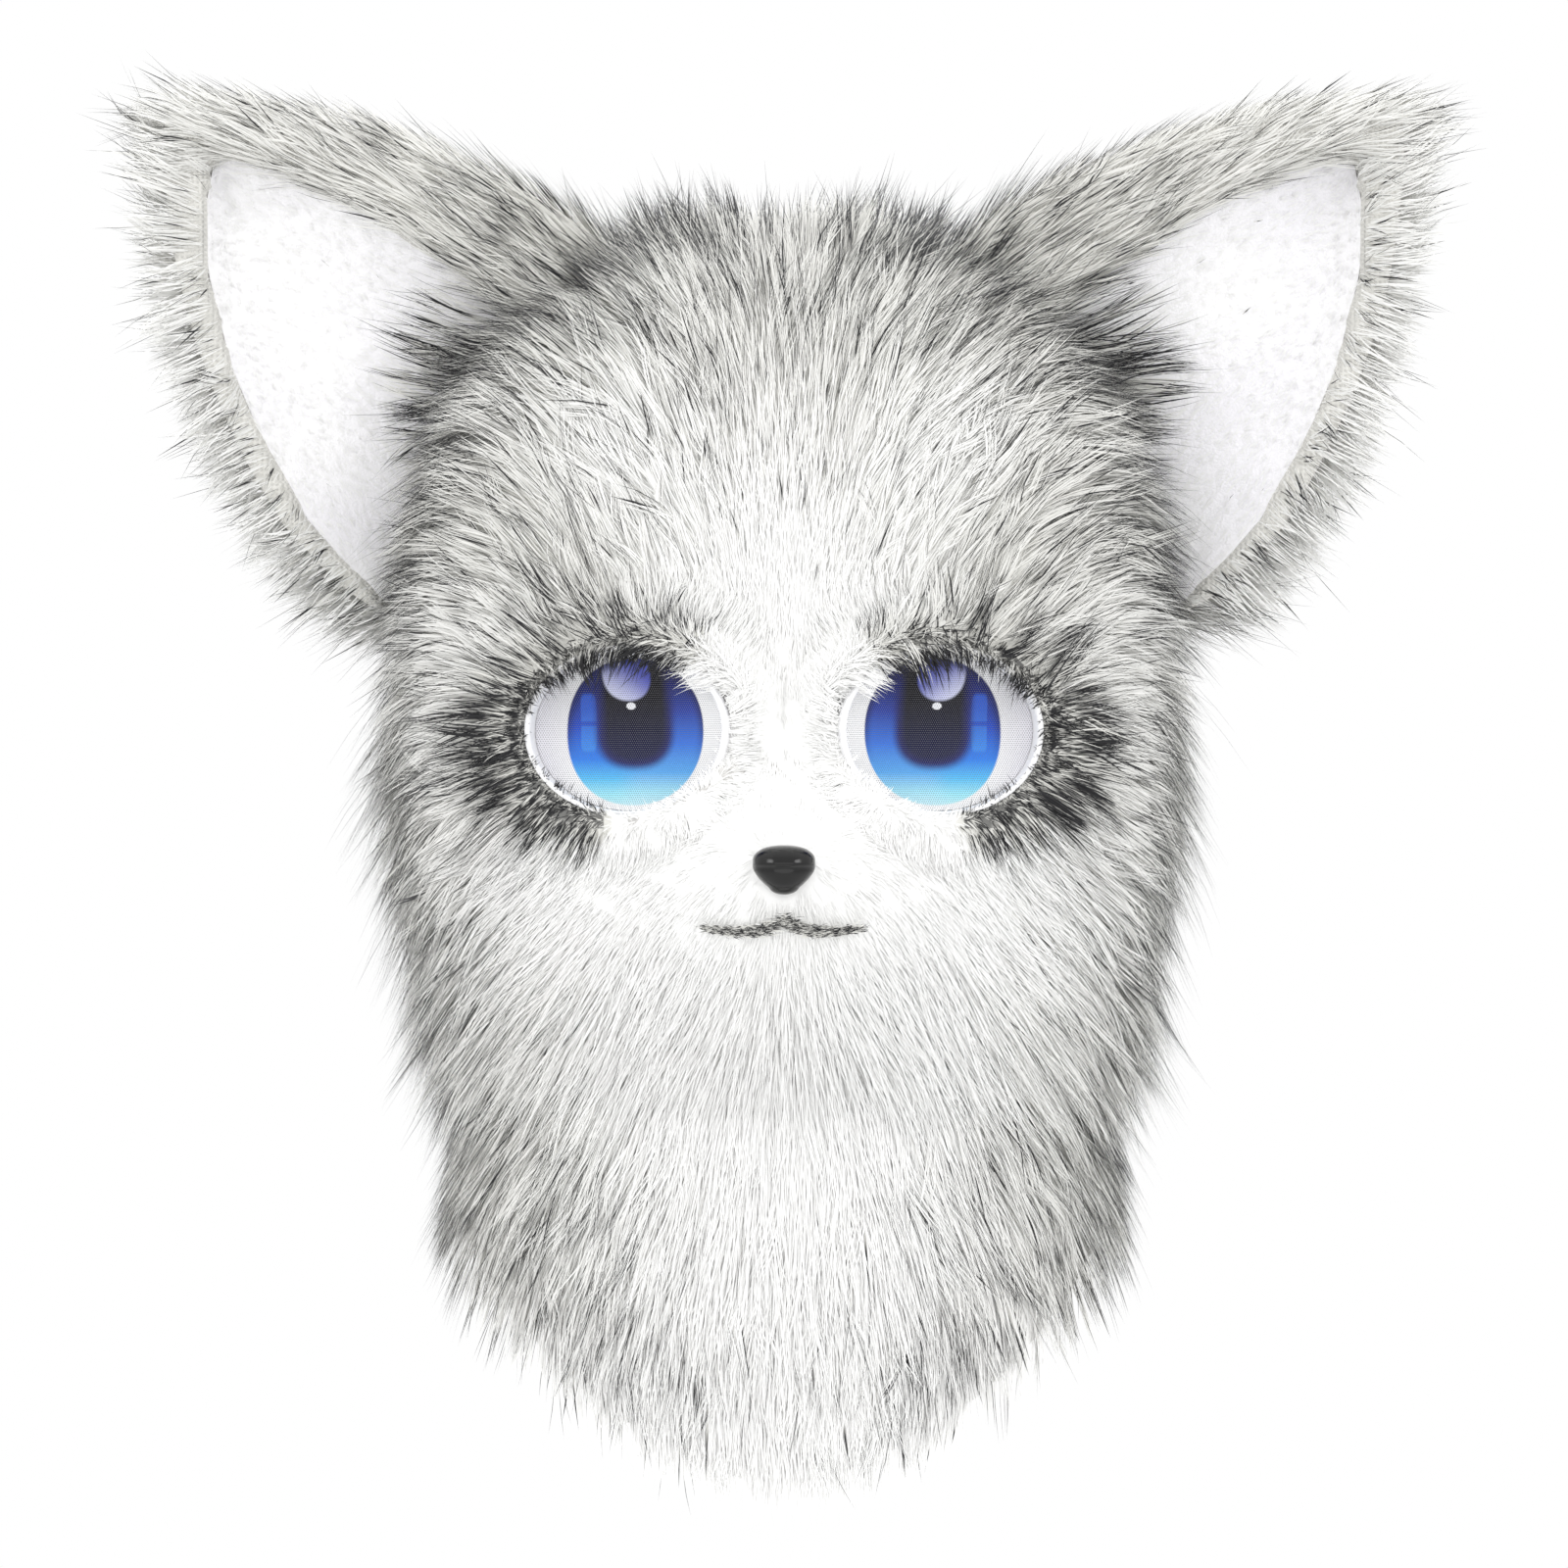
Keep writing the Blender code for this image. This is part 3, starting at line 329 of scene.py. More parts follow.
class HeadSizes(bpy.types.PropertyGroup):
    """Form of the padded head, eyes, nose and mouth."""

    width: bpy.props.FloatProperty(
        name="Width", description="Width of the padded form", default=0.236, unit="LENGTH")
    face_reach: bpy.props.FloatProperty(
        name="Face reach", description="From the seat to the padded face", default=0.112,
        unit="LENGTH")
    back_reach: bpy.props.FloatProperty(
        name="Back reach", description="From the seat to the padded back", default=0.125,
        unit="LENGTH")
    crown: bpy.props.FloatProperty(
        name="Crown", description="Padding above the seat", default=0.038, unit="LENGTH")
    drop: bpy.props.FloatProperty(
        name="Drop", description="From the seat down to the neck rim", default=0.235,
        unit="LENGTH")
    muzzle_reach: bpy.props.FloatProperty(
        name="Muzzle reach", description="How far the muzzle swells", default=0.038,
        unit="LENGTH")
    muzzle_width: bpy.props.FloatProperty(
        name="Muzzle width", description="Width of the muzzle", default=0.104, unit="LENGTH")
    muzzle_height: bpy.props.FloatProperty(
        name="Muzzle height", description="Height of the muzzle", default=0.090, unit="LENGTH")
    bib_length: bpy.props.FloatProperty(
        name="Bib length", description="How far the bib hangs below the rim", default=0.150,
        unit="LENGTH")
    collar_flare: bpy.props.FloatProperty(
        name="Collar flare", description="How far the collar spreads at its hem", default=0.012,
        unit="LENGTH")
    nose_drop: bpy.props.FloatProperty(
        name="Nose drop", description="From the seat down to the nose", default=0.172,
        unit="LENGTH")
    nose_width: bpy.props.FloatProperty(
        name="Nose width", description="Width of the nose", default=0.022, unit="LENGTH")
    nose_height: bpy.props.FloatProperty(
        name="Nose height", description="Height of the nose", default=0.017, unit="LENGTH")
    mouth_drop: bpy.props.FloatProperty(
        name="Mouth drop", description="From the seat down to the mouth line", default=0.196,
        unit="LENGTH")
    mouth_width: bpy.props.FloatProperty(
        name="Mouth width", description="Width of the mouth line", default=0.048, unit="LENGTH")


class EyeSizes(bpy.types.PropertyGroup):
    """Size and place of the eyes, and of what is printed on their meshes."""

    spacing: bpy.props.FloatProperty(
        name="Spacing", description="Between the eyes' middles", default=0.111, unit="LENGTH")
    drop: bpy.props.FloatProperty(
        name="Drop", description="From the seat down to the eyes", default=0.124, unit="LENGTH")
    width: bpy.props.FloatProperty(
        name="Width", description="Width of the opening", default=0.074, unit="LENGTH")
    height: bpy.props.FloatProperty(
        name="Height", description="Height of the opening", default=0.056, unit="LENGTH")
    reach: bpy.props.FloatProperty(
        name="Reach", description="From the seat forward to the openings", default=0.1106,
        unit="LENGTH")
    wall: bpy.props.FloatProperty(
        name="Wall", description="Thickness of the plastic ring", default=0.0025,
        unit="LENGTH")
    depth: bpy.props.FloatProperty(
        name="Depth", description="Depth of the plastic ring", default=0.028, unit="LENGTH")
    recess: bpy.props.FloatProperty(
        name="Recess", description="How far the mesh lies in the ring", default=0.004,
        unit="LENGTH")
    dish: bpy.props.FloatProperty(
        name="Dish", description="How far the mesh is dished", default=0.005, unit="LENGTH")
    yaw: bpy.props.FloatProperty(
        name="Yaw", description="How far each eye turns outward", default=math.radians(25),
        subtype="ANGLE")
    dot_pitch: bpy.props.FloatProperty(
        name="Hole pitch", description="Between the holes of the mesh", default=0.00084,
        unit="LENGTH")


class EarSizes(bpy.types.PropertyGroup):
    """Size and place of the ears and of their cushions."""

    length: bpy.props.FloatProperty(
        name="Length", description="From the root to the tip", default=0.160, unit="LENGTH")
    half_width: bpy.props.FloatProperty(
        name="Half width", description="Half the width at the root", default=0.077,
        unit="LENGTH")
    depth: bpy.props.FloatProperty(
        name="Depth", description="From the front face to the back", default=0.052,
        unit="LENGTH")
    spread: bpy.props.FloatProperty(
        name="Spread", description="How far each ear leans outward", default=math.radians(45),
        subtype="ANGLE")
    cushion_length: bpy.props.FloatProperty(
        name="Cushion length", description="Length of the white cushion", default=0.136,
        unit="LENGTH")
    cushion_cup: bpy.props.FloatProperty(
        name="Cushion cup", description="Depth of its hollow", default=0.024, unit="LENGTH")


class CoatColours(bpy.types.PropertyGroup):
    """Colours of the hair."""

    white: bpy.props.FloatVectorProperty(
        name="White", description="White hair of face and bib", default=(0.95, 0.95, 0.94),
        subtype="COLOR", size=3)
    cream: bpy.props.FloatVectorProperty(
        name="Cream grey", description="Undercoat", default=(0.75, 0.745, 0.705),
        subtype="COLOR", size=3)
    charcoal: bpy.props.FloatVectorProperty(
        name="Charcoal", description="Tips of the guard hair", default=(0.018, 0.018, 0.020),
        subtype="COLOR", size=3)


class StudioSizes(bpy.types.PropertyGroup):
    """Where the camera stands."""

    distance: bpy.props.FloatProperty(
        name="Distance", description="From the camera to the ears' plane", default=2.6,
        unit="LENGTH")
    field: bpy.props.FloatProperty(
        name="Field", description="Width of the view at the ears' plane", default=0.565,
        unit="LENGTH")
    height: bpy.props.FloatProperty(
        name="Height", description="Height of the view's middle", default=-0.1426,
        unit="LENGTH")


# Form

def read_smooth(values, place, mirror):
    """Read a table's column as a smooth curve; mirror says how it goes on before its first row."""
    values = np.asarray(values, float)
    before = mirror * values[1] if mirror else 2 * values[0] - values[1]
    padded = np.concatenate(([before], values, [2 * values[-1] - values[-2]]))
    along = np.clip(place, 0.0, 1.0) * (len(values) - 1)
    left = np.minimum(along.astype(int), len(values) - 2)
    part = along - left
    p0, p1, p2, p3 = (padded[left + step] for step in range(4))
    bend = (2 * p0 - 5 * p1 + 4 * p2 - p3) * part + (3 * (p1 - p2) + p3 - p0) * part ** 2
    return p1 + 0.5 * part * ((p2 - p0) + bend)


def read_outline(rows, place):
    """A table's second column at some places along its first."""
    return np.interp(place, *zip(*rows))


def ease(value):
    value = np.clip(value, 0.0, 1.0)
    return value * value * (3 - 2 * value)


def unit(vectors):
    return vectors / np.maximum(np.linalg.norm(vectors, axis=-1, keepdims=True), 1e-9)


def head_form(angle, place):
    """Points of the padded form: angle from the front, place from the top to the rim."""
    head = bpy.context.scene.head_sizes
    column = {name: read_smooth([getattr(row, name) for row in FORM], place,
                                1 if name == "level" else -1) for name in FORM[0]._fields}
    facing = np.cos(angle)
    depth = np.where(facing > 0, head.face_reach * column["front"],
                     head.back_reach * column["back"])
    side = np.maximum(head.width / 2 * column["side"], 1e-6)
    power = np.where(facing > 0, 2.6, 2.1)
    radius = (np.abs(np.sin(angle) / side) ** power
              + np.abs(facing / np.maximum(depth, 1e-6)) ** power) ** (-1 / power)
    points = np.stack((radius * np.sin(angle), -radius * facing,
                       head.crown - column["level"] * (head.crown + head.drop)), axis=-1)
    across = np.abs(points[..., 0]) / (head.muzzle_width / 2)
    along = np.abs(points[..., 2] + head.nose_drop + head.muzzle_height * 0.1)
    along = along / (head.muzzle_height / 2)
    swelling = head.muzzle_reach * np.exp(-across ** 2.7 - along ** 2.7)
    points[..., 1] -= swelling * np.maximum(facing, 0.0)
    return points


def collar_form(angle, place):
    """Points of the collar's outside, place running from its top to its hem."""
    head = bpy.context.scene.head_sizes
    rim = head_form(angle, np.ones_like(angle))
    half_turns = np.abs(np.remainder(angle + math.pi, math.tau) - math.pi) / math.pi
    drop = head.bib_length * read_smooth(HEM, half_turns, 1)
    outward = np.stack((np.sin(angle), -np.cos(angle), np.zeros_like(angle)), axis=-1)
    level = np.zeros_like(drop)
    return (rim + outward * (head.collar_flare * place - 0.0015)[..., None]
            - np.stack((level, level, 0.0004 + drop * place), axis=-1))


def form_and_normal(form, angle, place):
    """Points of a form, its normals there, and how much surface each point stands for."""
    step = 0.004
    across = form(angle + step, place) - form(angle - step, place)
    down = form(angle, np.minimum(place + step, 1.0)) - form(angle, np.maximum(place - step, 0.0))
    steep = np.cross(down, across)
    return form(angle, place), unit(steep), np.linalg.norm(steep, axis=-1)


def scatter(form, angles, places, wanted, chance):
    """Even random points on a form between two angles and two places, with their normals."""
    found = []
    while sum(len(batch[0]) for batch in found) < wanted:
        angle = chance.uniform(*angles, wanted * 2)
        place = chance.uniform(*places, wanted * 2)
        points, normals, area = form_and_normal(form, angle, place)
        kept = chance.uniform(0, area.max(), len(area)) < area
        found.append((points[kept], normals[kept], angle[kept], place[kept]))
    return [np.concatenate(parts)[:wanted] for parts in zip(*found)]


# Hair

# The roots of a coat, each with the way its hair lies, its length, how far it stands up, its
# grey and its chance of a dark tip.
Pelt = namedtuple("Pelt", "points normals lie length rise grey dark")


def blend_rows(rows, points, reach, both_sides, flat=1.0):
    """Each row's last columns, blended at some points by how near the row's place is."""
    table = np.array(rows, float)
    if both_sides:
        mirror = np.ones(table.shape[1])
        mirror[0] = -1
        if isinstance(rows[0], Stroke):
            mirror[3] = -1
        table = np.concatenate((table, (table * mirror)[table[:, 0] > 0]))
    offset = (points[:, None, :] - table[None, :, :3] / 1000) * (1.0, flat, 1.0)
    weight = np.exp(-(offset ** 2).sum(axis=2) / (2 * reach ** 2)) + 1e-12
    weight /= weight.sum(axis=1, keepdims=True)
    return weight @ table[:, 3:]


def flatten(lie, normals):
    """Directions laid level with the surface."""
    return unit(lie - normals * (lie * normals).sum(axis=1, keepdims=True))


def combed_pelt(strokes, shades, points, normals, both_sides=True):
    """A pelt on some roots, read from its tables of strokes and shades."""
    combed = blend_rows(strokes, points, STROKE_REACH, both_sides)
    grey, dark = blend_rows(shades, points, SHADE_REACH, both_sides, SHADE_DEPTH).T
    lie = flatten(unit(combed[:, :3]), normals)
    rise = combed[:, 4] * (0.50 + 0.50 * np.minimum(grey * 2.2, 1))
    return Pelt(points, normals, lie, combed[:, 3] / 1000, rise, grey, dark)


def hair_curves(points, normals, lie, rise, length, fall, segments):
    """Points along each hair: it starts as far up as rise says and bends over its lie."""
    curve = [points]
    start = unit(normals * rise[:, None] + lie * (1 - rise)[:, None])
    for step in range(segments):
        share = (step + 0.5) / segments
        heading = start + lie * (0.55 * share)
        heading[:, 2] -= fall * share
        curve.append(curve[-1] + unit(heading) * (length / segments)[:, None])
    return np.stack(curve, axis=1)


def nearest(sites, points):
    """Number of the site that lies nearest to each point."""
    tree = KDTree(len(sites))
    for index, site in enumerate(sites):
        tree.insert(site, index)
    tree.balance()
    return np.array([tree.find(point)[1] for point in points])


def gather(curve, pelt, guides, pull, look, chance, share):
    """Draw hairs towards the nearest of some guide hairs, as locks; also says which that is."""
    lean = flatten(pelt.lie[guides] + chance.normal(0, 0.26, (len(guides), 3)),
                   pelt.normals[guides])
    length = pelt.length[guides] * chance.uniform(0.75, 1.32, len(guides))
    rise = pelt.rise[guides] * chance.uniform(0.75, 1.25, len(guides))
    leading = hair_curves(pelt.points[guides], pelt.normals[guides], lean, rise, length,
                          look.fall, look.segments)
    owner = nearest(pelt.points[guides], pelt.points)
    amount = (pull * share ** 0.9)[None, :, None]
    return curve * (1 - amount) + leading[owner] * amount, owner


def hair_mesh(name, curve, normals, width, tone, chance):
    """One mesh of flat tapering hairs. Its map runs across by tone and along each hair."""
    count, levels = curve.shape[0], curve.shape[1]
    share = np.linspace(0, 1, levels)
    heading = unit(curve[:, -1] - curve[:, 0])
    flat = unit(np.cross(heading, normals) + 1e-6)
    turn = chance.uniform(-0.6, 0.6, count)[:, None]
    across = flat * np.cos(turn) + np.cross(heading, flat) * np.sin(turn)
    facing = np.cross(across, heading)
    across *= np.where((facing * normals).sum(axis=1) > 0, 1.0, -1.0)[:, None]
    taper = np.interp(share, (0.0, 0.3, 0.75, 1.0), (0.7, 1.0, 0.85, 0.0))
    half = width[:, None] * taper[None, :] / 2
    sides = levels - 1
    left = curve[:, :sides] - across[:, None] * half[:, :sides, None]
    right = curve[:, :sides] + across[:, None] * half[:, :sides, None]
    pairs = np.stack((left, right), axis=2).reshape(count, sides * 2, 3)
    vertices = np.concatenate((pairs, curve[:, -1:]), axis=1)
    per_hair = sides * 2 + 1
    quads = np.array([(2 * k, 2 * k + 1, 2 * k + 3, 2 * k + 2) for k in range(sides - 1)])
    pattern = np.concatenate((quads.ravel(), (2 * sides - 2, 2 * sides - 1, 2 * sides)))
    pattern = pattern.astype(np.int32)
    corners = (pattern[None] + (np.arange(count) * per_hair)[:, None]).ravel()
    sizes = np.tile(np.array([4] * (sides - 1) + [3]), count)
    starts = np.concatenate(([0], np.cumsum(sizes)[:-1]))
    mesh = bpy.data.meshes.new(name)
    mesh.vertices.add(count * per_hair)
    mesh.vertices.foreach_set("co", vertices.astype(np.float32).ravel())
    mesh.loops.add(len(corners))
    mesh.loops.foreach_set("vertex_index", corners.astype(np.int32))
    mesh.polygons.add(len(sizes))
    mesh.polygons.foreach_set("loop_start", starts.astype(np.int32))
    mesh.update(calc_edges=True)
    mesh.polygons.foreach_set("use_smooth", np.ones(len(sizes), bool))
    along = np.concatenate((np.repeat(share[:sides], 2), [1.0]))
    offset = np.concatenate((np.tile((-0.003, 0.003), sides), [0.0]))
    chart = np.stack((np.clip(tone, 0.012, 0.988)[:, None] + offset[None],
                      np.broadcast_to(along * 0.98 + 0.01, (count, per_hair))), axis=2)
    layer = mesh.uv_layers.new(name="OFBake")
    layer.data.foreach_set("uv", chart.reshape(-1, 2)[corners].astype(np.float32).ravel())
    shading = unit(normals * 0.92 + np.cross(across, heading) * 0.16)
    each = np.repeat(shading, per_hair, axis=0)
    mesh.normals_split_custom_set_from_vertices(each.astype(np.float32))
    return mesh


def grow_fur(name, pelt, look, seed):
    """Grow a coat on a pelt: undercoat, guard hair in locks and tufts, and stray hair."""
    chance = np.random.default_rng(seed)
    count = len(pelt.points)
    share = np.linspace(0, 1, look.segments + 1)
    kind = chance.uniform(0, 1, count)
    under, stray = kind < UNDERCOAT, kind > 1 - look.stray
    length = pelt.length * chance.uniform(0.66, 1.12, count)
    length = np.where(under, length * 0.70, np.where(stray, length * 1.25, length))
    lie = flatten(pelt.lie + chance.normal(0, 0.16, (count, 3)), pelt.normals)
    rise = np.clip(pelt.rise * chance.uniform(0.75, 1.25, count), 0.05, 0.95)
    curve = hair_curves(pelt.points, pelt.normals, lie, rise, length, look.fall, look.segments)
    lock_of = np.zeros(count, int)
    loose = np.where(stray, 0.25, 1.0)[:, None, None]
    for number, pull in ((look.tufts, look.tuft_pull), (look.locks, look.lock_pull)):
        guides = chance.choice(count, min(number, count), replace=False)
        drawn, lock_of = gather(curve, pelt, guides, pull, look, chance, share)
        curve = curve + (drawn - curve) * loose
    drift = chance.normal(0, 0.04, (count, 3)) * length[:, None]
    curve = curve + drift[:, None] * (share ** 1.5)[None, :, None]

    clump = 2.9 * chance.uniform(0, 1, look.locks)[lock_of] ** 1.7
    wanted = pelt.dark * np.where(under, 0.45, np.where(stray, 1.5, clump))
    wanted = np.maximum(wanted, (pelt.dark - 1.0) * 1.3)
    dark = chance.uniform(0, 1, count) < wanted
    curve = curve + (curve - curve[:, :1]) * np.where(dark, 0.20, 0.0)[:, None, None]
    grey = np.clip(pelt.grey * (1 + chance.normal(0, 0.10, count)), 0, 1)
    tone = np.where(dark, chance.uniform(0.70, 0.90, count) + 0.09 * pelt.dark,
                    0.02 + 0.42 * grey)
    # These few hairs stretch the coat's map over the whole width, so that it bakes whole.
    tone[:6] = 0.02, 0.98, 0.25, 0.5, 0.75, 0.02
    width = look.width * chance.uniform(0.8, 1.15, count)
    thin = 0.48 + 0.34 * ease((pelt.dark - 1.0) / 0.5)
    width *= np.where(under, 1.3, np.where(dark | stray, thin, 0.85))
    mesh = hair_mesh(name, curve, pelt.normals, width, tone, chance)
    return add_piece(name, mesh)


def lifted(pelt, part=0.40):
    """Roots raised to the height of the dense wool, with the rest of their length."""
    height = part * pelt.rise * pelt.length * (1.35 - 0.35 * np.minimum(pelt.grey * 2, 1))
    share, _, place = around_eyes(pelt.points)
    near = ease((1.55 - share) / 0.45)
    height = height * (1 - near) + np.clip(place[:, 2] - 0.0025, 0, 0.02) * near
    left = np.maximum(pelt.length - height * 0.9, 0.0045)
    return pelt._replace(points=pelt.points + pelt.normals * height[:, None], length=left)


def wool_piece(name, form, strokes, shades, has_eyes, rows, columns):
    """A closed round of dense wool over a form, lit and coloured like the hair."""
    angle, place = np.meshgrid(np.linspace(-math.pi, math.pi, columns + 1),
                               np.linspace(0.002, 0.998, rows + 1))
    points, normals, _ = form_and_normal(form, angle.ravel(), place.ravel())
    pelt = combed_pelt(strokes, shades, points, normals)
    shown = np.ones(len(points), bool)
    if has_eyes:
        pelt, _ = dress_pelt(pelt, 1.0)
        shown = around_eyes(points)[0] > 1.04
    top = lifted(pelt, 0.36)
    if has_eyes:
        top = top._replace(points=beside_eyes(top.points))
    chance = np.random.default_rng(ROOT_SEEDS["wool"])
    rough = top.points + normals * chance.normal(0, 0.0004, len(points))[:, None]
    corner = (np.arange(rows)[:, None] * (columns + 1) + np.arange(columns)).ravel()
    faces = np.stack((corner, corner + columns + 1, corner + columns + 2, corner + 1), axis=1)
    faces = faces[shown[faces].any(axis=1)]
    mesh = bpy.data.meshes.new(name)
    mesh.from_pydata(rough.tolist(), [], faces.tolist())
    deep = ease((pelt.dark - 0.45) / 0.5)
    tone = (0.02 + 0.42 * pelt.grey) * (1 - deep) + 0.75 * deep
    chart = np.stack((tone, 0.34 + 0.26 * deep), axis=1)
    chart = chart[faces.ravel()]
    # The first face stretches the map over the whole square, so that it bakes whole.
    chart[:4] = (0.02, 0.02), (0.98, 0.02), (0.98, 0.98), (0.02, 0.98)
    layer = mesh.uv_layers.new(name="OFBake")
    layer.data.foreach_set("uv", chart.astype(np.float32).ravel())
    piece = add_piece(name, mesh)
    select_alone(piece)
    bpy.ops.object.shade_smooth()
    return piece


def add_piece(name, mesh):
    """Put a mesh in the scene as a piece."""
    piece = bpy.data.objects.new(name, mesh)
    bpy.context.scene.collection.objects.link(piece)
    return piece


def dress(piece, material, slot, *nodes):
    """Give a finished piece its material, hang it on the root body and hide the imported parts it
    stands for.
    """
    piece.data.materials.clear()
    piece.data.materials.append(material)
    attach(piece, "root")
    if nodes:
        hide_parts(*nodes)


# Places that hair keeps clear of

def eye_matrix(side):
    """Placement of an eye: local Z looks out of the head, local X runs across the eye."""
    eyes = bpy.context.scene.eye_sizes
    turn = Matrix.Rotation(side * eyes.yaw, 4, "Z") @ Matrix.Rotation(math.pi / 2, 4, "X")
    return Matrix.Translation((side * eyes.spacing / 2, -eyes.reach, -eyes.drop)) @ turn


def to_eye(side, points):
    """Points of the head as an eye's own coordinates, and back again below."""
    back = np.array(eye_matrix(side).inverted())
    return points @ back[:3, :3].T + back[:3, 3]


def from_eye(side, points):
    place = np.array(eye_matrix(side))
    return points @ place[:3, :3].T + place[:3, 3]


def eye_share(points, local):
    """Distance from an eye's middle as a share of its half size, and far for the back's points."""
    eyes = bpy.context.scene.eye_sizes
    share = np.hypot(local[:, 0] / (eyes.width / 2), local[:, 1] / (eyes.height / 2))
    return np.where(points[:, 1] < -0.02, share, 9.0)


def around_eyes(points):
    """Each point by its nearest eye: distance as a share of the eye's half size, the way
    outward from the eye, that way's shares across and up, and the depth behind the eye."""
    eyes = bpy.context.scene.eye_sizes
    found = np.full(len(points), 9.0)
    away, place = np.zeros_like(points), np.zeros_like(points)
    for side, _ in SIDES:
        local = to_eye(side, points)
        share = eye_share(points, local)
        nearer = share < found
        found = np.where(nearer, share, found)
        outward = np.stack((local[:, 0], local[:, 1], np.zeros(len(points))), axis=1)
        away[nearer] = unit(outward @ np.array(eye_matrix(side))[:3, :3].T)[nearer]
        turned = np.stack((local[:, 0] * side / (eyes.width / 2),
                           local[:, 1] / (eyes.height / 2), -local[:, 2]), axis=1)
        turned[:, :2] /= np.maximum(share, 1e-6)[:, None]
        place[nearer] = turned[nearer]
    return found, away, place


def beside_eyes(points):
    """Points with those that lie within an eye moved out to its ring's wall."""
    wall = 1.045
    moved = points.copy()
    for side, _ in SIDES:
        local = to_eye(side, points)
        share = eye_share(points, local)
        inside = share < wall
        local[:, :2] *= (wall / np.maximum(share, 0.05))[:, None]
        moved[inside] = from_eye(side, local)[inside]
    return moved


def ear_frame(side):
    """Root of an ear, and its own directions: across it (outward and down), back and along."""
    ears, head = bpy.context.scene.ear_sizes, bpy.context.scene.head_sizes
    root = np.array((side * (head.width / 2 - 0.009), -0.022, -0.013))
    across = (side * math.cos(ears.spread), 0.0, -math.sin(ears.spread))
    along = (side * math.sin(ears.spread), 0.0, math.cos(ears.spread))
    return root, np.array((across, (0.0, 1.0, 0.0), along))


def from_ear(side, points):
    """Points in an ear's own coordinates as points of the head, and back again below."""
    root, ways = ear_frame(side)
    return points @ ways + root


def to_ear(side, points):
    root, ways = ear_frame(side)
    return (points - root) @ ways.T


def ear_half(reach):
    """Half the width of an ear's body at some places along its axis."""
    ears = bpy.context.scene.ear_sizes
    half = ears.half_width * read_outline(EAR_OUTLINE, np.maximum(reach, 0) / ears.length)
    below = np.clip(-reach / EAR_ROOT, 0, 1)
    return half * np.sqrt(np.maximum(1 - below ** 2, 0))


def ear_depth(half):
    """How deep an ear's body is at its middle, where half its width is known."""
    ears = bpy.context.scene.ear_sizes
    return ears.depth * (half / ears.half_width) ** 0.7


def in_ear(points):
    """Whether points lie inside an ear's body."""
    found = np.zeros(len(points), bool)
    for side, _ in SIDES:
        across, back, reach = to_ear(side, points).T
        half = ear_half(reach)
        share = across / np.maximum(half, 1e-4)
        depth = ear_depth(half) * np.sqrt(np.maximum(1 - share ** 2, 0))
        inside = (np.abs(share) < 0.98) & (back > 0.0) & (back < depth * 0.95)
        found |= inside & (points[:, 0] * side > 0)
    return found


def nose_share(points):
    """Distance from the nose's middle as a share of its half size."""
    head = bpy.context.scene.head_sizes
    return np.where(points[:, 1] < -0.1,
                    np.hypot(points[:, 0] / (head.nose_width / 2),
                             (points[:, 2] + head.nose_drop) / (head.nose_height / 2)), 9.0)


def dress_pelt(pelt, clearance):
    """Dress the hair round the eyes; also says which roots are clear of ears, eyes and nose.

    Hair lies away from the eyes, but next to them it hangs over the ring, most at the brow, and
    it is dark from above the eye round its outer side. Under the chin it is brushed level.
    """
    share, away, place = around_eyes(pelt.points)
    keep = ~in_ear(pelt.points) & (share > clearance) & (nose_share(pelt.points) > 0.95)
    across, up, behind = place.T
    brow = ease((up - 0.15) / 0.5)
    edge = 1.23 + 0.13 * brow
    fringe = ease((edge - share) / (edge - 1.10))
    turn = ease((1.85 - share) / 0.6) * (1 - (1.76 + 0.24 * brow) * fringe)
    turn = (turn * ease((np.abs(pelt.points[:, 0]) - 0.004) / 0.014))[:, None]
    level = 1 - ease((-0.175 - pelt.points[:, 2]) / 0.045)
    kept = np.ones_like(level)
    normals = unit(pelt.normals * np.stack((kept, kept, level), axis=1))
    lie = flatten(pelt.lie * (1 - np.abs(turn)) + away * turn, normals)
    reach = np.clip(behind, 0, 0.02) * 0.9 + 0.0052 + 0.0105 * brow
    length = pelt.length * (1 - fringe) + reach * fringe
    rise = pelt.rise * (1 - fringe) + (0.34 + 0.16 * brow) * fringe
    ring = ease((1.52 - 0.14 * brow - share) / 0.32) * np.maximum(
        ease(across / 0.3), ease((up - 0.1) / 0.3) * ease((across + 0.72) / 0.25))
    dark = pelt.dark * (1 - ring) + 1.7 * ring
    grey = pelt.grey * (1 - ring) + 0.95 * ring
    length = length * (1 - 0.35 * ring * brow * (1 - fringe))
    pelt = pelt._replace(normals=normals, lie=lie, length=length, rise=rise, grey=grey, dark=dark)
    return pelt, keep


def clear_pelt(pelt):
    """A pelt dressed round the eyes, without the roots in eyes, ears and nose."""
    pelt, keep = dress_pelt(pelt, 1.07)
    return Pelt(*(part[keep] for part in pelt))


# Materials

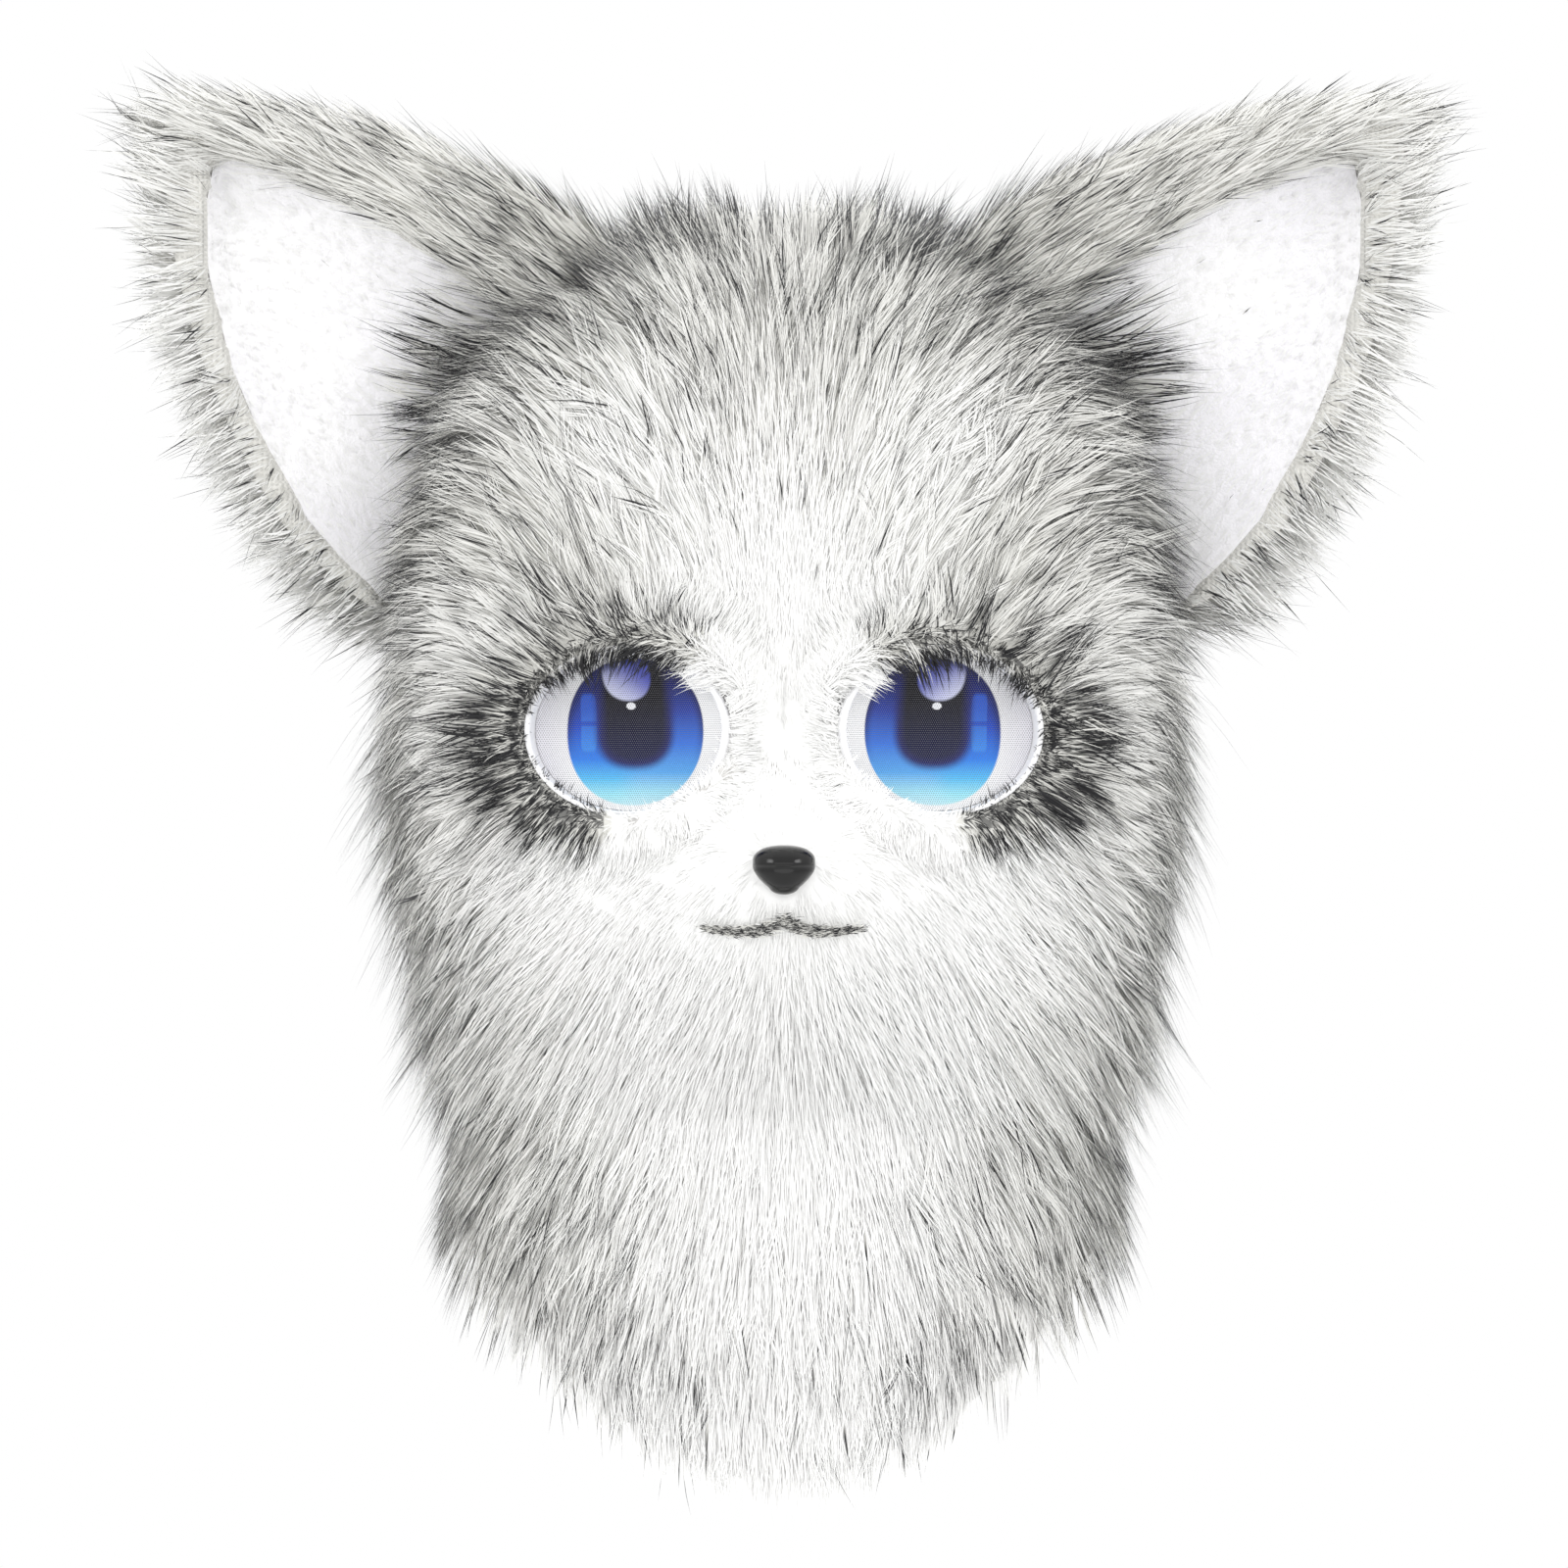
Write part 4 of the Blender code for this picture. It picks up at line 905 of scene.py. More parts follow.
class Link:
    """A shader socket that takes part in sums."""

    def __init__(self, tree, socket):
        self.tree = tree
        self.socket = socket

    def node(self, kind, settings=None, inputs=None, output=0):
        """Add a node: its settings first, then values or links for its sockets."""
        made = self.tree.nodes.new(kind)
        for name, value in (settings or {}).items():
            if name == "stops":
                ramp = made.color_ramp
                while len(ramp.elements) < len(value):
                    ramp.elements.new(0.5)
                for element, (place, tint) in zip(ramp.elements, value):
                    element.position = place
                    element.color = colour(tint)
            else:
                setattr(made, name, value)
        for name, value in (inputs or {}).items():
            if isinstance(value, Link):
                self.tree.links.new(value.socket, made.inputs[name])
            else:
                made.inputs[name].default_value = value
        return Link(self.tree, made.outputs[output])

    def channel(self, number):
        """Another output of the node that this link comes from."""
        return Link(self.tree, self.socket.node.outputs[number])

    def maths(self, operation, *values):
        return self.node("ShaderNodeMath", {"operation": operation}, dict(enumerate(values)))

    def __abs__(self):
        return self.maths("ABSOLUTE", self)

    def fraction(self):
        return self.maths("FRACT", self)

    def larger(self, other):
        return self.maths("MAXIMUM", self, other)

    def smaller(self, other):
        return self.maths("MINIMUM", self, other)

    def __add__(self, other):
        return self.maths("ADD", self, other)

    def __radd__(self, other):
        return self.maths("ADD", other, self)

    def __sub__(self, other):
        return self.maths("SUBTRACT", self, other)

    def __rsub__(self, other):
        return self.maths("SUBTRACT", other, self)

    def __mul__(self, other):
        return self.maths("MULTIPLY", self, other)

    def __rmul__(self, other):
        return self.maths("MULTIPLY", other, self)

    def __truediv__(self, other):
        return self.maths("DIVIDE", self, other)

    def __pow__(self, other):
        return self.maths("POWER", self, other)

    def fade(self, start, end):
        """0 up to start and 1 from end on, smooth between; end may be the lower one."""
        return self.node("ShaderNodeMapRange", {"interpolation_type": "SMOOTHSTEP"}, {
            "Value": self, "From Min": start, "From Max": end})

    def blend(self, first, second):
        """The first colour where this is 0 and the second where it is 1."""
        factor, colour_a, colour_b, colour_out = 0, 6, 7, 2
        return self.node("ShaderNodeMix", {"data_type": "RGBA"}, {
            factor: self, colour_a: first, colour_b: second}, colour_out)


def colour(values):
    """Red, green and blue with full alpha."""
    return (*values, 1.0)


def new_material(name, roughness, **sockets):
    """A material with a Principled shader, its own constants, and a link to build from."""
    material = bpy.data.materials.new(name)
    material.use_nodes = True
    tree = material.node_tree
    shader = tree.nodes["Principled BSDF"]
    shader.inputs["Roughness"].default_value = roughness
    for socket, value in sockets.items():
        shader.inputs[socket.replace("_", " ")].default_value = value
    return material, shader, Link(tree, None)


def connect(link, shader, socket):
    """Feed one of the shader's own sockets."""
    link.tree.links.new(link.socket, shader.inputs[socket])


def add_bump(start, shader, height, distance, strength=1.0):
    """Relief, distance metres high where height is 1."""
    bump = start.node("ShaderNodeBump", None, {
        "Height": height, "Distance": distance, "Strength": strength})
    connect(bump, shader, "Normal")


def own_map(start):
    """Both directions of a piece's own map."""
    chart = start.node("ShaderNodeUVMap", {"uv_map": "OFBake"})
    across = start.node("ShaderNodeSeparateXYZ", None, {0: chart})
    return across, across.channel(1)


def hair_material():
    """Colour by the hair's own map: tone across, and from root to tip up, with painted shade near the
    roots.
    """
    if "hair" in bpy.data.materials:
        return bpy.data.materials["hair"]
    colours = bpy.context.scene.coat_colours
    material, shader, start = new_material("hair", 0.62, Specular_IOR_Level=0.25,
                                           Sheen_Weight=0.15)
    tone, along = own_map(start)
    base = tone.fade(0.03, 0.42).blend(colour(colours.white), colour(colours.cream))
    reach = along - (1.42 - tone * 1.30)
    tipped = reach.fade(0.0, 0.22) * tone.fade(0.48, 0.56)
    # Painted shade: near the root the grey tones darken a little towards a brown-grey, for the shadow
    # deep in the coat.
    root = (1 - along.fade(0.0, 0.40)) * tone.fade(0.1, 0.6) * 0.12
    hair = root.blend(base, colour((0.30, 0.29, 0.27)))
    hair = tipped.blend(hair, colour(colours.charcoal))
    connect(hair, shader, "Base Color")
    return material


def object_place(start):
    """Object coordinates."""
    return start.node("ShaderNodeTexCoord", None, None, output=3)


def noise(place, scale, detail=2.0):
    """A mottle of 0 to 1, scale times to the metre."""
    return place.node("ShaderNodeTexNoise", None, {
        "Vector": place, "Scale": scale, "Detail": detail})


def cloth_material(name, tint, thread):
    """Plain woven cloth, its threads thread metres apart."""
    material, shader, start = new_material(name, 0.9, Sheen_Weight=0.2)
    place = object_place(start)
    waves = [start.node("ShaderNodeTexWave", {"bands_direction": way}, {
        "Vector": place, "Scale": 1 / (thread * 6.3), "Distortion": 0.4, "Detail": 1.0})
        for way in "XYZ"]
    weave = waves[0] * waves[2] + waves[1] * (1 - waves[2])
    mottle = noise(place, 40.0)
    worn = mottle.fade(0.3, 0.75)
    shade = worn.blend(colour(tint), colour([value * 0.86 for value in tint]))
    shade = (weave * 0.35).blend(shade, colour([value * 0.62 for value in tint]))
    connect(shade, shader, "Base Color")
    add_bump(start, shader, weave, 0.0004)
    return material


def plush_material():
    """White short-pile plush of the ears' cushions."""
    material, shader, start = new_material("plush", 0.85, Sheen_Weight=0.4)
    place = object_place(start)
    mottle = noise(place, 14.0)
    nap = noise(place, 900.0, 3.0)
    # Soft lavender-grey patches: partly the plush's own uneven tone, partly painted shade of its cupped
    # front.
    shade = mottle.fade(0.35, 0.7).blend(colour((0.89, 0.88, 0.91)), colour((0.95, 0.945, 0.955)))
    shade = (nap.fade(0.45, 0.8) * 0.2).blend(shade, colour((0.91, 0.90, 0.92)))
    connect(shade, shader, "Base Color")
    add_bump(start, shader, nap, 0.0003)
    return material


def plastic_material(name, tint, gloss, scuff):
    """Moulded plastic with faint scuffs and an uneven gloss."""
    material, shader, start = new_material(name, gloss)
    place = object_place(start)
    fine = noise(place, 700.0)
    broad = noise(place, 90.0, 3.0)
    shade = broad.fade(0.4, 0.8).blend(colour(tint), colour(scuff))
    connect(shade, shader, "Base Color")
    connect(gloss + broad.fade(0.45, 0.8) * 0.10, shader, "Roughness")
    add_bump(start, shader, fine, 0.00002)
    return material


# Operators

def select_none():
    bpy.ops.object.select_all(action="DESELECT")


def select_alone(piece):
    """Make a piece the only one that an operator acts on."""
    select_none()
    piece.select_set(True)
    bpy.context.view_layer.objects.active = piece


class COSTUME_OT_coat(bpy.types.Operator):
    """Grow the coat of the crown, cheeks, back and face"""

    bl_idname = "costume.coat"
    bl_label = "Head coat"

    def execute(self, context):
        hair = hair_material()
        chance = np.random.default_rng(ROOT_SEEDS["coat"])
        # Seams as places from the top to the rim and as angles from the front; the face lies
        # within one angle and the cheeks beyond another, both cut off along the face's edge.
        crown_seam, side_seam = 0.31, math.radians(115)
        face_end, cheek_start = 1.05, 0.24

        def face_half(place):
            return np.radians(read_smooth(FACE_EDGE, (place - crown_seam) / (1 - crown_seam), 0))

        def in_face(angle, place):
            return np.abs(angle) < face_half(place)

        def in_cheek(angle, place):
            return np.abs(angle) > face_half(place)

        def anywhere(angle, place):
            return np.ones(len(angle), bool)

        crown, below = (0, crown_seam), (crown_seam, 1)
        coats = [
            ("crown_coat", "crown_fur", "grey_fur", "crown", (0, math.tau), crown, anywhere),
            ("back_coat", "back_fur", "grey_fur", "back",
             (side_seam, math.tau - side_seam), below, anywhere),
            ("face_coat", "face_fur", "white_fur", "face", (-face_end, face_end), below, in_face),
        ]
        for side, tag in SIDES:
            span = sorted((side * cheek_start, side * side_seam))
            coats.append((f"cheek_coat_{tag}", f"cheek_fur_{tag}", "grey_fur", "cheek", span,
                          below, in_cheek))
        nodes = []
        for number, (name, node, slot, kind, angles, places, belongs) in enumerate(coats):
            points, normals, angle, place = scatter(head_form, angles, places, HAIR[kind].roots,
                                                    chance)
            keep = belongs(angle, place)
            pelt = combed_pelt(HEAD_STROKES, HEAD_SHADES, points[keep], normals[keep])
            piece = grow_fur(name, lifted(clear_pelt(pelt)), HAIR[kind],
                             HAIR_SEEDS["coat"] + number)
            dress(piece, hair, slot, node)
            nodes.append(node)
        wool = wool_piece("head_wool", head_form, HEAD_STROKES, HEAD_SHADES, True, 90, 160)
        dress(wool, hair, "grey_fur", *nodes)
        return {"FINISHED"}


class COSTUME_OT_ruff(bpy.types.Operator):
    """Grow the long hair of the ruff and the bib"""

    bl_idname = "costume.ruff"
    bl_label = "Ruff and bib"

    def execute(self, context):
        hair = hair_material()
        chance = np.random.default_rng(ROOT_SEEDS["collar"])
        bib_edge = math.radians(34)
        coats = (
            ("bib_coat", "bib_fur", "white_fur", "bib", (-bib_edge, bib_edge)),
            ("ruff_coat", "neck_ruff", "grey_fur", "ruff", (bib_edge, math.tau - bib_edge)),
        )
        for number, (name, node, slot, kind, span) in enumerate(coats):
            points, normals, _, _ = scatter(collar_form, span, (0.0, 0.97), HAIR[kind].roots,
                                            chance)
            pelt = lifted(combed_pelt(COLLAR_STROKES, COLLAR_SHADES, points, normals), 0.3)
            piece = grow_fur(name, pelt, HAIR[kind], HAIR_SEEDS["collar"] + number)
            dress(piece, hair, slot, node)
        wool = wool_piece("collar_wool", collar_form, COLLAR_STROKES, COLLAR_SHADES, False, 30, 140)
        dress(wool, hair, "grey_fur", "bib_fur", "neck_ruff")
        return {"FINISHED"}


def rounded_blank(name, segments, rings):
    """A closed round primitive, alone in the selection, to be shaped into a piece."""
    select_none()
    bpy.ops.mesh.primitive_uv_sphere_add(segments=segments, ring_count=rings, radius=1.0)
    piece = bpy.context.object
    piece.name = name
    return piece


def read_points(mesh):
    points = np.empty(len(mesh.vertices) * 3)
    mesh.vertices.foreach_get("co", points)
    return points.reshape(-1, 3)


def close_piece(piece):
    """Merge doubled points, turn the faces outward and shade the piece smooth."""
    select_alone(piece)
    bpy.ops.object.mode_set(mode="EDIT")
    bpy.ops.mesh.select_all(action="SELECT")
    bpy.ops.mesh.remove_doubles(threshold=1e-6)
    bpy.ops.mesh.normals_make_consistent(inside=False)
    bpy.ops.object.mode_set(mode="OBJECT")
    bpy.ops.object.shade_smooth()


def move_points(piece, points):
    piece.data.vertices.foreach_set("co", points.ravel())
    piece.data.update()


def cushion_shape(reach):
    """Inner and outer half width of an ear's cushion, and how deep it is cupped there."""
    ears = bpy.context.scene.ear_sizes
    share = np.clip(reach, 0.0, None) / ears.cushion_length
    width = read_outline(CUSHION_OUTLINE, share)
    cup = ears.cushion_cup * np.sqrt(np.maximum(1 - share ** 2, 0.0))
    return 0.038 * width, 0.070 * width, cup


def ball_places(ball):
    """Each point of a ball by its level, from the lower pole up, and its turn round the axis."""
    points = read_points(ball.data)
    level = 1 - np.arccos(np.clip(points[:, 2], -1, 1)) / math.pi
    return level, np.arctan2(points[:, 1], points[:, 0])


def make_ear_body(side, tag):
    """Furred body of an ear: D-shaped across, tapering to its tip, with a hollow in front."""
    ears = bpy.context.scene.ear_sizes
    body = rounded_blank(f"ear_body_{tag}", 64, 48)
    level, turn = ball_places(body)
    reach = -EAR_ROOT + (ears.length + EAR_ROOT) * level
    half = ear_half(reach)
    depth = ear_depth(half)
    across = half * np.cos(turn)
    back = np.where(turn > 0, depth * np.sin(turn), 0.003 * np.sin(turn))
    inner, outer, cup = cushion_shape(reach)
    sweep = np.abs((across - (outer - inner) / 2) / np.maximum((outer + inner) / 2, 1e-4))
    hollow = ease((1.02 - sweep) / 0.06) * (turn < 0) * (reach < ears.cushion_length)
    floor = cup * np.maximum(1 - sweep ** 2, 0) + 0.008
    back = np.where(turn < 0, back * (1 - hollow) + floor * hollow, np.maximum(back, 0))
    deepest = depth * np.sqrt(np.maximum(1 - (across / np.maximum(half, 1e-4)) ** 2, 0))
    back = np.minimum(back, np.maximum(deepest, 0.001))
    move_points(body, from_ear(side, np.stack((across, back, reach), axis=1)))
    close_piece(body)
    return body


def make_ear_cushion(side, tag):
    """White padded cup that fills the hollow in front of an ear."""
    ears = bpy.context.scene.ear_sizes
    cushion = rounded_blank(f"ear_cushion_{tag}", 64, 48)
    level, turn = ball_places(cushion)
    reach = -EAR_ROOT + (ears.cushion_length + EAR_ROOT) * level
    inner, outer, cup = cushion_shape(reach)
    low = ease((reach + EAR_ROOT) / 0.02)
    sweep = np.cos(turn)
    across = (outer - inner) / 2 + (outer + inner) / 2 * sweep * low
    back = cup * (1 - sweep ** 2) + 0.0035 * (1 + np.sin(turn))
    move_points(cushion, from_ear(side, np.stack((across, back, reach), axis=1)))
    close_piece(cushion)
    return cushion


def mesh_roots(piece, wanted, chance):
    """Even random points on a mesh, with its smooth normals."""
    mesh = piece.data
    mesh.calc_loop_triangles()
    corners = np.empty(len(mesh.loop_triangles) * 3, np.int32)
    mesh.loop_triangles.foreach_get("vertices", corners)
    corners = corners.reshape(-1, 3)
    points = read_points(mesh)
    # Edit mode leaves the faces in another order each time, so they are put in a fixed one.
    corners = corners[np.lexsort(points[corners].sum(axis=1).T)]
    normals = np.empty(len(mesh.vertices) * 3)
    mesh.vertices.foreach_get("normal", normals)
    normals = normals.reshape(-1, 3)
    a, b, c = (points[corners[:, k]] for k in range(3))
    area = np.linalg.norm(np.cross(b - a, c - a), axis=1)
    chosen = chance.choice(len(corners), wanted, p=area / area.sum())
    u, v = chance.uniform(0, 1, (2, wanted))
    over = u + v > 1
    u, v = np.where(over, 1 - u, u), np.where(over, 1 - v, v)
    weights = np.stack((1 - u - v, u, v), axis=1)[:, :, None]
    return ((points[corners[chosen]] * weights).sum(axis=1),
            unit((normals[corners[chosen]] * weights).sum(axis=1)))


def head_share(points):
    """How far out points lie in the padded head with its coat's roots: below 1 is inside."""
    head = bpy.context.scene.head_sizes
    level = (head.crown + 0.004 - points[:, 2]) / (head.crown + head.drop)
    side = np.interp(level, [row.level for row in FORM], [row.side for row in FORM])
    across = points[:, 0] / (head.width / 2 * np.maximum(side, 0.01))
    reach = np.where(points[:, 1] > 0, head.back_reach, head.face_reach)
    return across ** 2 + (points[:, 1] / (reach * np.maximum(side, 0.01))) ** 2


def ear_pelt(side, body, chance):
    """Roots of an ear's coat, clear of its cushion and the head, with dark hair at the edge as painted
    shadow.
    """
    ears = bpy.context.scene.ear_sizes
    _, ways = ear_frame(side)
    points, normals = mesh_roots(body, HAIR["ear"].roots, chance)
    local = to_ear(side, points)
    inner, outer, _ = cushion_shape(local[:, 2])
    covered = np.abs(local[:, 0] - (outer - inner) / 2) < (outer + inner) / 2 * 0.985
    covered &= (local[:, 1] < 0.035) & (local[:, 2] < ears.cushion_length * 0.985)
    facing = normals[:, 1] < 0.25
    keep = ~(covered & facing) & (head_share(points) > 1.0)
    points, normals, local, facing = (part[keep] for part in (points, normals, local, facing))
    pelt = combed_pelt(EAR_STROKES, EAR_SHADES, local, normals @ ways.T, False)
    _, outer, _ = cushion_shape(local[:, 2])
    edge = local[:, 0] / np.maximum(outer, 1e-4)
    # Painted shadow: short dark hair along the cushion's outer edge, where the gap between cushion and
    # coat lies in shade.
    gap_shadow = 0.6 * ease((1.08 - edge) / 0.05) * ease((edge - 0.95) / 0.03) * facing
    return pelt._replace(points=points, normals=normals, lie=pelt.lie @ ways,
                         dark=pelt.dark * (1 - gap_shadow) + gap_shadow,
                         length=pelt.length * (1 - gap_shadow * 0.55))


def plush_pelt(side, cushion, chance):
    """Roots of the short white pile on the front of an ear's cushion."""
    _, ways = ear_frame(side)
    points, normals = mesh_roots(cushion, HAIR["plush"].roots, chance)
    keep = (normals[:, 1] < -0.2) & (head_share(points) > 1.0)
    points, normals = points[keep], normals[keep]
    lie = flatten(np.tile(ways[2] + (0, -0.2, -0.2), (len(points), 1)), normals)
    full = np.ones(len(points))
    return Pelt(points, normals, lie, full * 0.0045, full * 0.45, full * 0.06, full * 0.002)


def forelock_pelt(side, cushion, chance):
    """Roots of the dark lock that sweeps over an ear's cushion from its inner corner."""
    wanted = HAIR["forelock"].roots
    points, normals = mesh_roots(cushion, ROOT_TRIES, chance)
    beyond = (np.abs(points[:, 0]) - 0.102) / 0.012
    height = (points[:, 2] + 0.008) / 0.024
    near = np.exp(-np.maximum(beyond, 0) ** 2 - height ** 2)
    keep = (normals[:, 1] < -0.2) & (chance.uniform(0, 1, len(near)) < near)
    points, normals, height = (part[keep][:wanted] for part in (points, normals, height))
    full = np.ones(len(points))
    lie = flatten(np.stack((full * side, full * -0.3, 0.10 + 0.32 * height), axis=1), normals)
    dark = np.clip(0.75 + 0.35 * height, 0.35, 1.0)
    return Pelt(points, normals, lie, 0.026 + 0.010 * dark, full * 0.48, full * 0.8, dark)


class COSTUME_OT_ears(bpy.types.Operator):
    """Shape the ears and their cushions, and grow their coat and plush"""

    bl_idname = "costume.ears"
    bl_label = "Ears"

    def execute(self, context):
        hair, plush = hair_material(), plush_material()
        pelt_cloth = cloth_material("ear_pelt", (0.80, 0.79, 0.75), 0.0009)
        for side, tag in SIDES:
            chance = np.random.default_rng(ROOT_SEEDS["ear"] + side)
            body = make_ear_body(side, tag)
            dress(body, pelt_cloth, "grey_fur", f"ear_fur_{tag}")
            cushion = make_ear_cushion(side, tag)
            dress(cushion, plush, "ear_lining", f"ear_lining_{tag}")
            coats = (
                ("ear_coat", "grey_fur", "ear_fur", "ear", ear_pelt(side, body, chance)),
                ("ear_plush", "ear_lining", "ear_lining", "plush",
                 plush_pelt(side, cushion, chance)),
                ("forelock", "grey_fur", "ear_fur", "forelock",
                 forelock_pelt(side, cushion, chance)),
            )
            for name, slot, node, kind, pelt in coats:
                piece = grow_fur(f"{name}_{tag}", pelt, HAIR[kind], HAIR_SEEDS[kind] + side)
                dress(piece, hair, slot, f"{node}_{tag}")
        return {"FINISHED"}


def screen_material():
    """Perforated mesh with a printed iris, by the screen's own map."""
    material, shader, start = new_material("eye_screen", 0.6, Specular_IOR_Level=0.12)
    eyes = bpy.context.scene.eye_sizes
    # Millimetres from the eye's middle from here on: out from the nose, and up.
    out, up = ((way - 0.5) * (PRINT_SQUARE * 1000) for way in own_map(start))

    def radius(x, y, wide, high, power=2.0):
        """Distance from a place as a share of an oval's half size."""
        across = (abs(out - x) / wide) ** power
        along = (abs(up - y) / high) ** power
        return (across + along) ** (1 / power)

    height = (up + 28) / 56
    outer_blue = height.node("ShaderNodeValToRGB", {"stops": (
        (0.00, (0.62, 0.88, 0.93)), (0.10, (0.36, 0.80, 0.92)), (0.20, (0.10, 0.52, 0.90)),
        (0.32, (0.025, 0.22, 0.83)), (0.52, (0.016, 0.075, 0.55)), (0.74, (0.010, 0.020, 0.19)),
        (1.00, (0.006, 0.007, 0.05)))}, {"Fac": height})
    inner_blue = height.node("ShaderNodeValToRGB", {"stops": (
        (0.00, (0.66, 0.88, 0.93)), (0.12, (0.38, 0.76, 0.91)), (0.24, (0.10, 0.40, 0.86)),
        (0.42, (0.04, 0.18, 0.72)), (0.62, (0.022, 0.052, 0.36)), (0.80, (0.010, 0.014, 0.12)),
        (1.00, (0.008, 0.007, 0.04)))}, {"Fac": height})
    iris = out.fade(-4.0, 8.0).blend(inner_blue, outer_blue)
    pane = radius(17.6, 2.8, 3.0, 10.4, 6.0).fade(1.05, 0.88)
    bar = abs(up - 2.5).fade(1.1, 0.5)
    glow = (up + 14).fade(-2.0, 26.0).blend(colour((0.06, 0.34, 0.90)), colour((0.03, 0.12, 0.66)))
    iris = (pane * (1 - bar * 0.8) * 0.85).blend(iris, glow)
    low = (0 - up).larger(0.0) / 12.5
    pupil = ((abs(out) / 14.2) ** 2.4 + low ** 2.4) ** (1 / 2.4)
    dark = (up - 2).fade(-14.0, 12.0).blend(colour((0.006, 0.008, 0.05)), colour((0.002, 0.002, 0.004)))
    dark = pupil.fade(0.70, 1.05).blend(dark, colour((0.012, 0.015, 0.14)))
    iris = pupil.fade(1.20, 0.90).blend(iris, dark)
    shine = radius(2.4, 19.4, 9.4, 9.2, 2.2)
    glint = (up * 0.8 - out * 0.6).fade(3.0, 19.0).blend(colour((0.74, 0.76, 0.97)),
                                                         colour((0.10, 0.12, 0.56)))
    iris = shine.fade(1.04, 0.90).blend(iris, glint)
    iris = radius(1.6, 8.6, 1.9, 1.3).fade(1.1, 0.8).blend(iris, colour((0.92, 0.93, 0.97)))
    edge = radius(-1.0, -0.4, 26.5, 25.6, 2.15)
    iris = (edge.fade(0.86, 1.0) * (up + 6).fade(-8.0, 14.0) * 0.8).blend(
        iris, colour((0.010, 0.014, 0.10)))
    # Painted shade: the print's white turns lavender-grey towards the outer side, where the dished
    # mesh's outer wall lies in shade.
    white = out.fade(18.0, 36.0).blend(colour((0.92, 0.92, 0.93)), colour((0.76, 0.75, 0.80)))
    picture = edge.fade(1.015, 0.985).blend(white, iris)

    pitch = eyes.dot_pitch * 1000
    tall = pitch * math.sqrt(3)

    def dots(shift):
        """Distance from the nearest hole of one of the two grids that the holes make up."""
        across = ((out / pitch + shift).fraction() - 0.5) * pitch
        along = ((up / tall + shift).fraction() - 0.5) * tall
        return (across ** 2 + along ** 2) ** 0.5

    hole = dots(20.0).smaller(dots(20.5)).fade(0.30, 0.20)
    picture = (hole * 0.60).blend(picture, colour((0.17, 0.17, 0.18)))
    connect(picture, shader, "Base Color")
    add_bump(start, shader, 1 - hole, 0.0002, 0.6)
    return material


def make_eye_ring(side, tag):
    """Oval plastic ring with a rounded lip."""
    eyes = bpy.context.scene.eye_sizes
    select_none()
    bpy.ops.mesh.primitive_cylinder_add(
        vertices=96, radius=eyes.width / 2 + eyes.wall, depth=eyes.depth, end_fill_type="NOTHING",
        location=(0, 0, -eyes.depth / 2))
    ring = bpy.context.object
    ring.name = f"eye_ring_{tag}"
    bpy.ops.object.transform_apply(location=True, rotation=True, scale=True)
    thicken = ring.modifiers.new("wall", "SOLIDIFY")
    thicken.thickness = eyes.wall
    thicken.offset = -1
    bpy.ops.object.modifier_apply(modifier="wall")
    bevel = ring.modifiers.new("lip", "BEVEL")
    bevel.width = eyes.wall * 0.42
    bevel.segments = 4
    bevel.limit_method = "ANGLE"
    bpy.ops.object.modifier_apply(modifier="lip")
    squash = Matrix.Diagonal((1.0, eyes.height / eyes.width, 1.0, 1.0))
    ring.data.transform(eye_matrix(side) @ squash)
    close_piece(ring)
    return ring


def make_eye_screen(side, tag):
    """Dished disc, inset ring by ring, with a flat map for its print."""
    eyes = bpy.context.scene.eye_sizes
    select_none()
    edge = eyes.width / 2 - 0.0003
    bpy.ops.mesh.primitive_circle_add(vertices=96, radius=edge, fill_type="NGON",
                                      location=(0, 0, -eyes.recess))
    screen = bpy.context.object
    screen.name = f"eye_screen_{tag}"
    bpy.ops.object.transform_apply(location=True, rotation=True, scale=True)
    bpy.ops.object.mode_set(mode="EDIT")
    bpy.ops.mesh.select_all(action="SELECT")
    rings = 10
    for step in range(rings - 1):
        fall = ((rings - step) ** 2 - (rings - step - 1) ** 2) / rings ** 2 * eyes.dish
        bpy.ops.mesh.inset(thickness=edge / rings, depth=-fall)
    bpy.ops.mesh.poke(offset=0.0)
    bpy.ops.object.mode_set(mode="OBJECT")
    thicken = screen.modifiers.new("wall", "SOLIDIFY")
    thicken.thickness = 0.0012
    thicken.offset = -1
    bpy.ops.object.modifier_apply(modifier="wall")
    squash = Matrix.Diagonal((1.0, eyes.height / eyes.width, 1.0, 1.0))
    screen.data.transform(squash)
    flat = read_points(screen.data)
    chart = np.stack((flat[:, 0] * side, flat[:, 1]), axis=1) / PRINT_SQUARE + 0.5
    for layer in list(screen.data.uv_layers):
        screen.data.uv_layers.remove(layer)
    layer = screen.data.uv_layers.new(name="OFBake")
    corners = np.empty(len(screen.data.loops), np.int32)
    screen.data.loops.foreach_get("vertex_index", corners)
    layer.data.foreach_set("uv", chart[corners].astype(np.float32).ravel())
    screen.data.transform(eye_matrix(side))
    select_alone(screen)
    bpy.ops.object.shade_smooth_by_angle(angle=math.radians(40))
    return screen


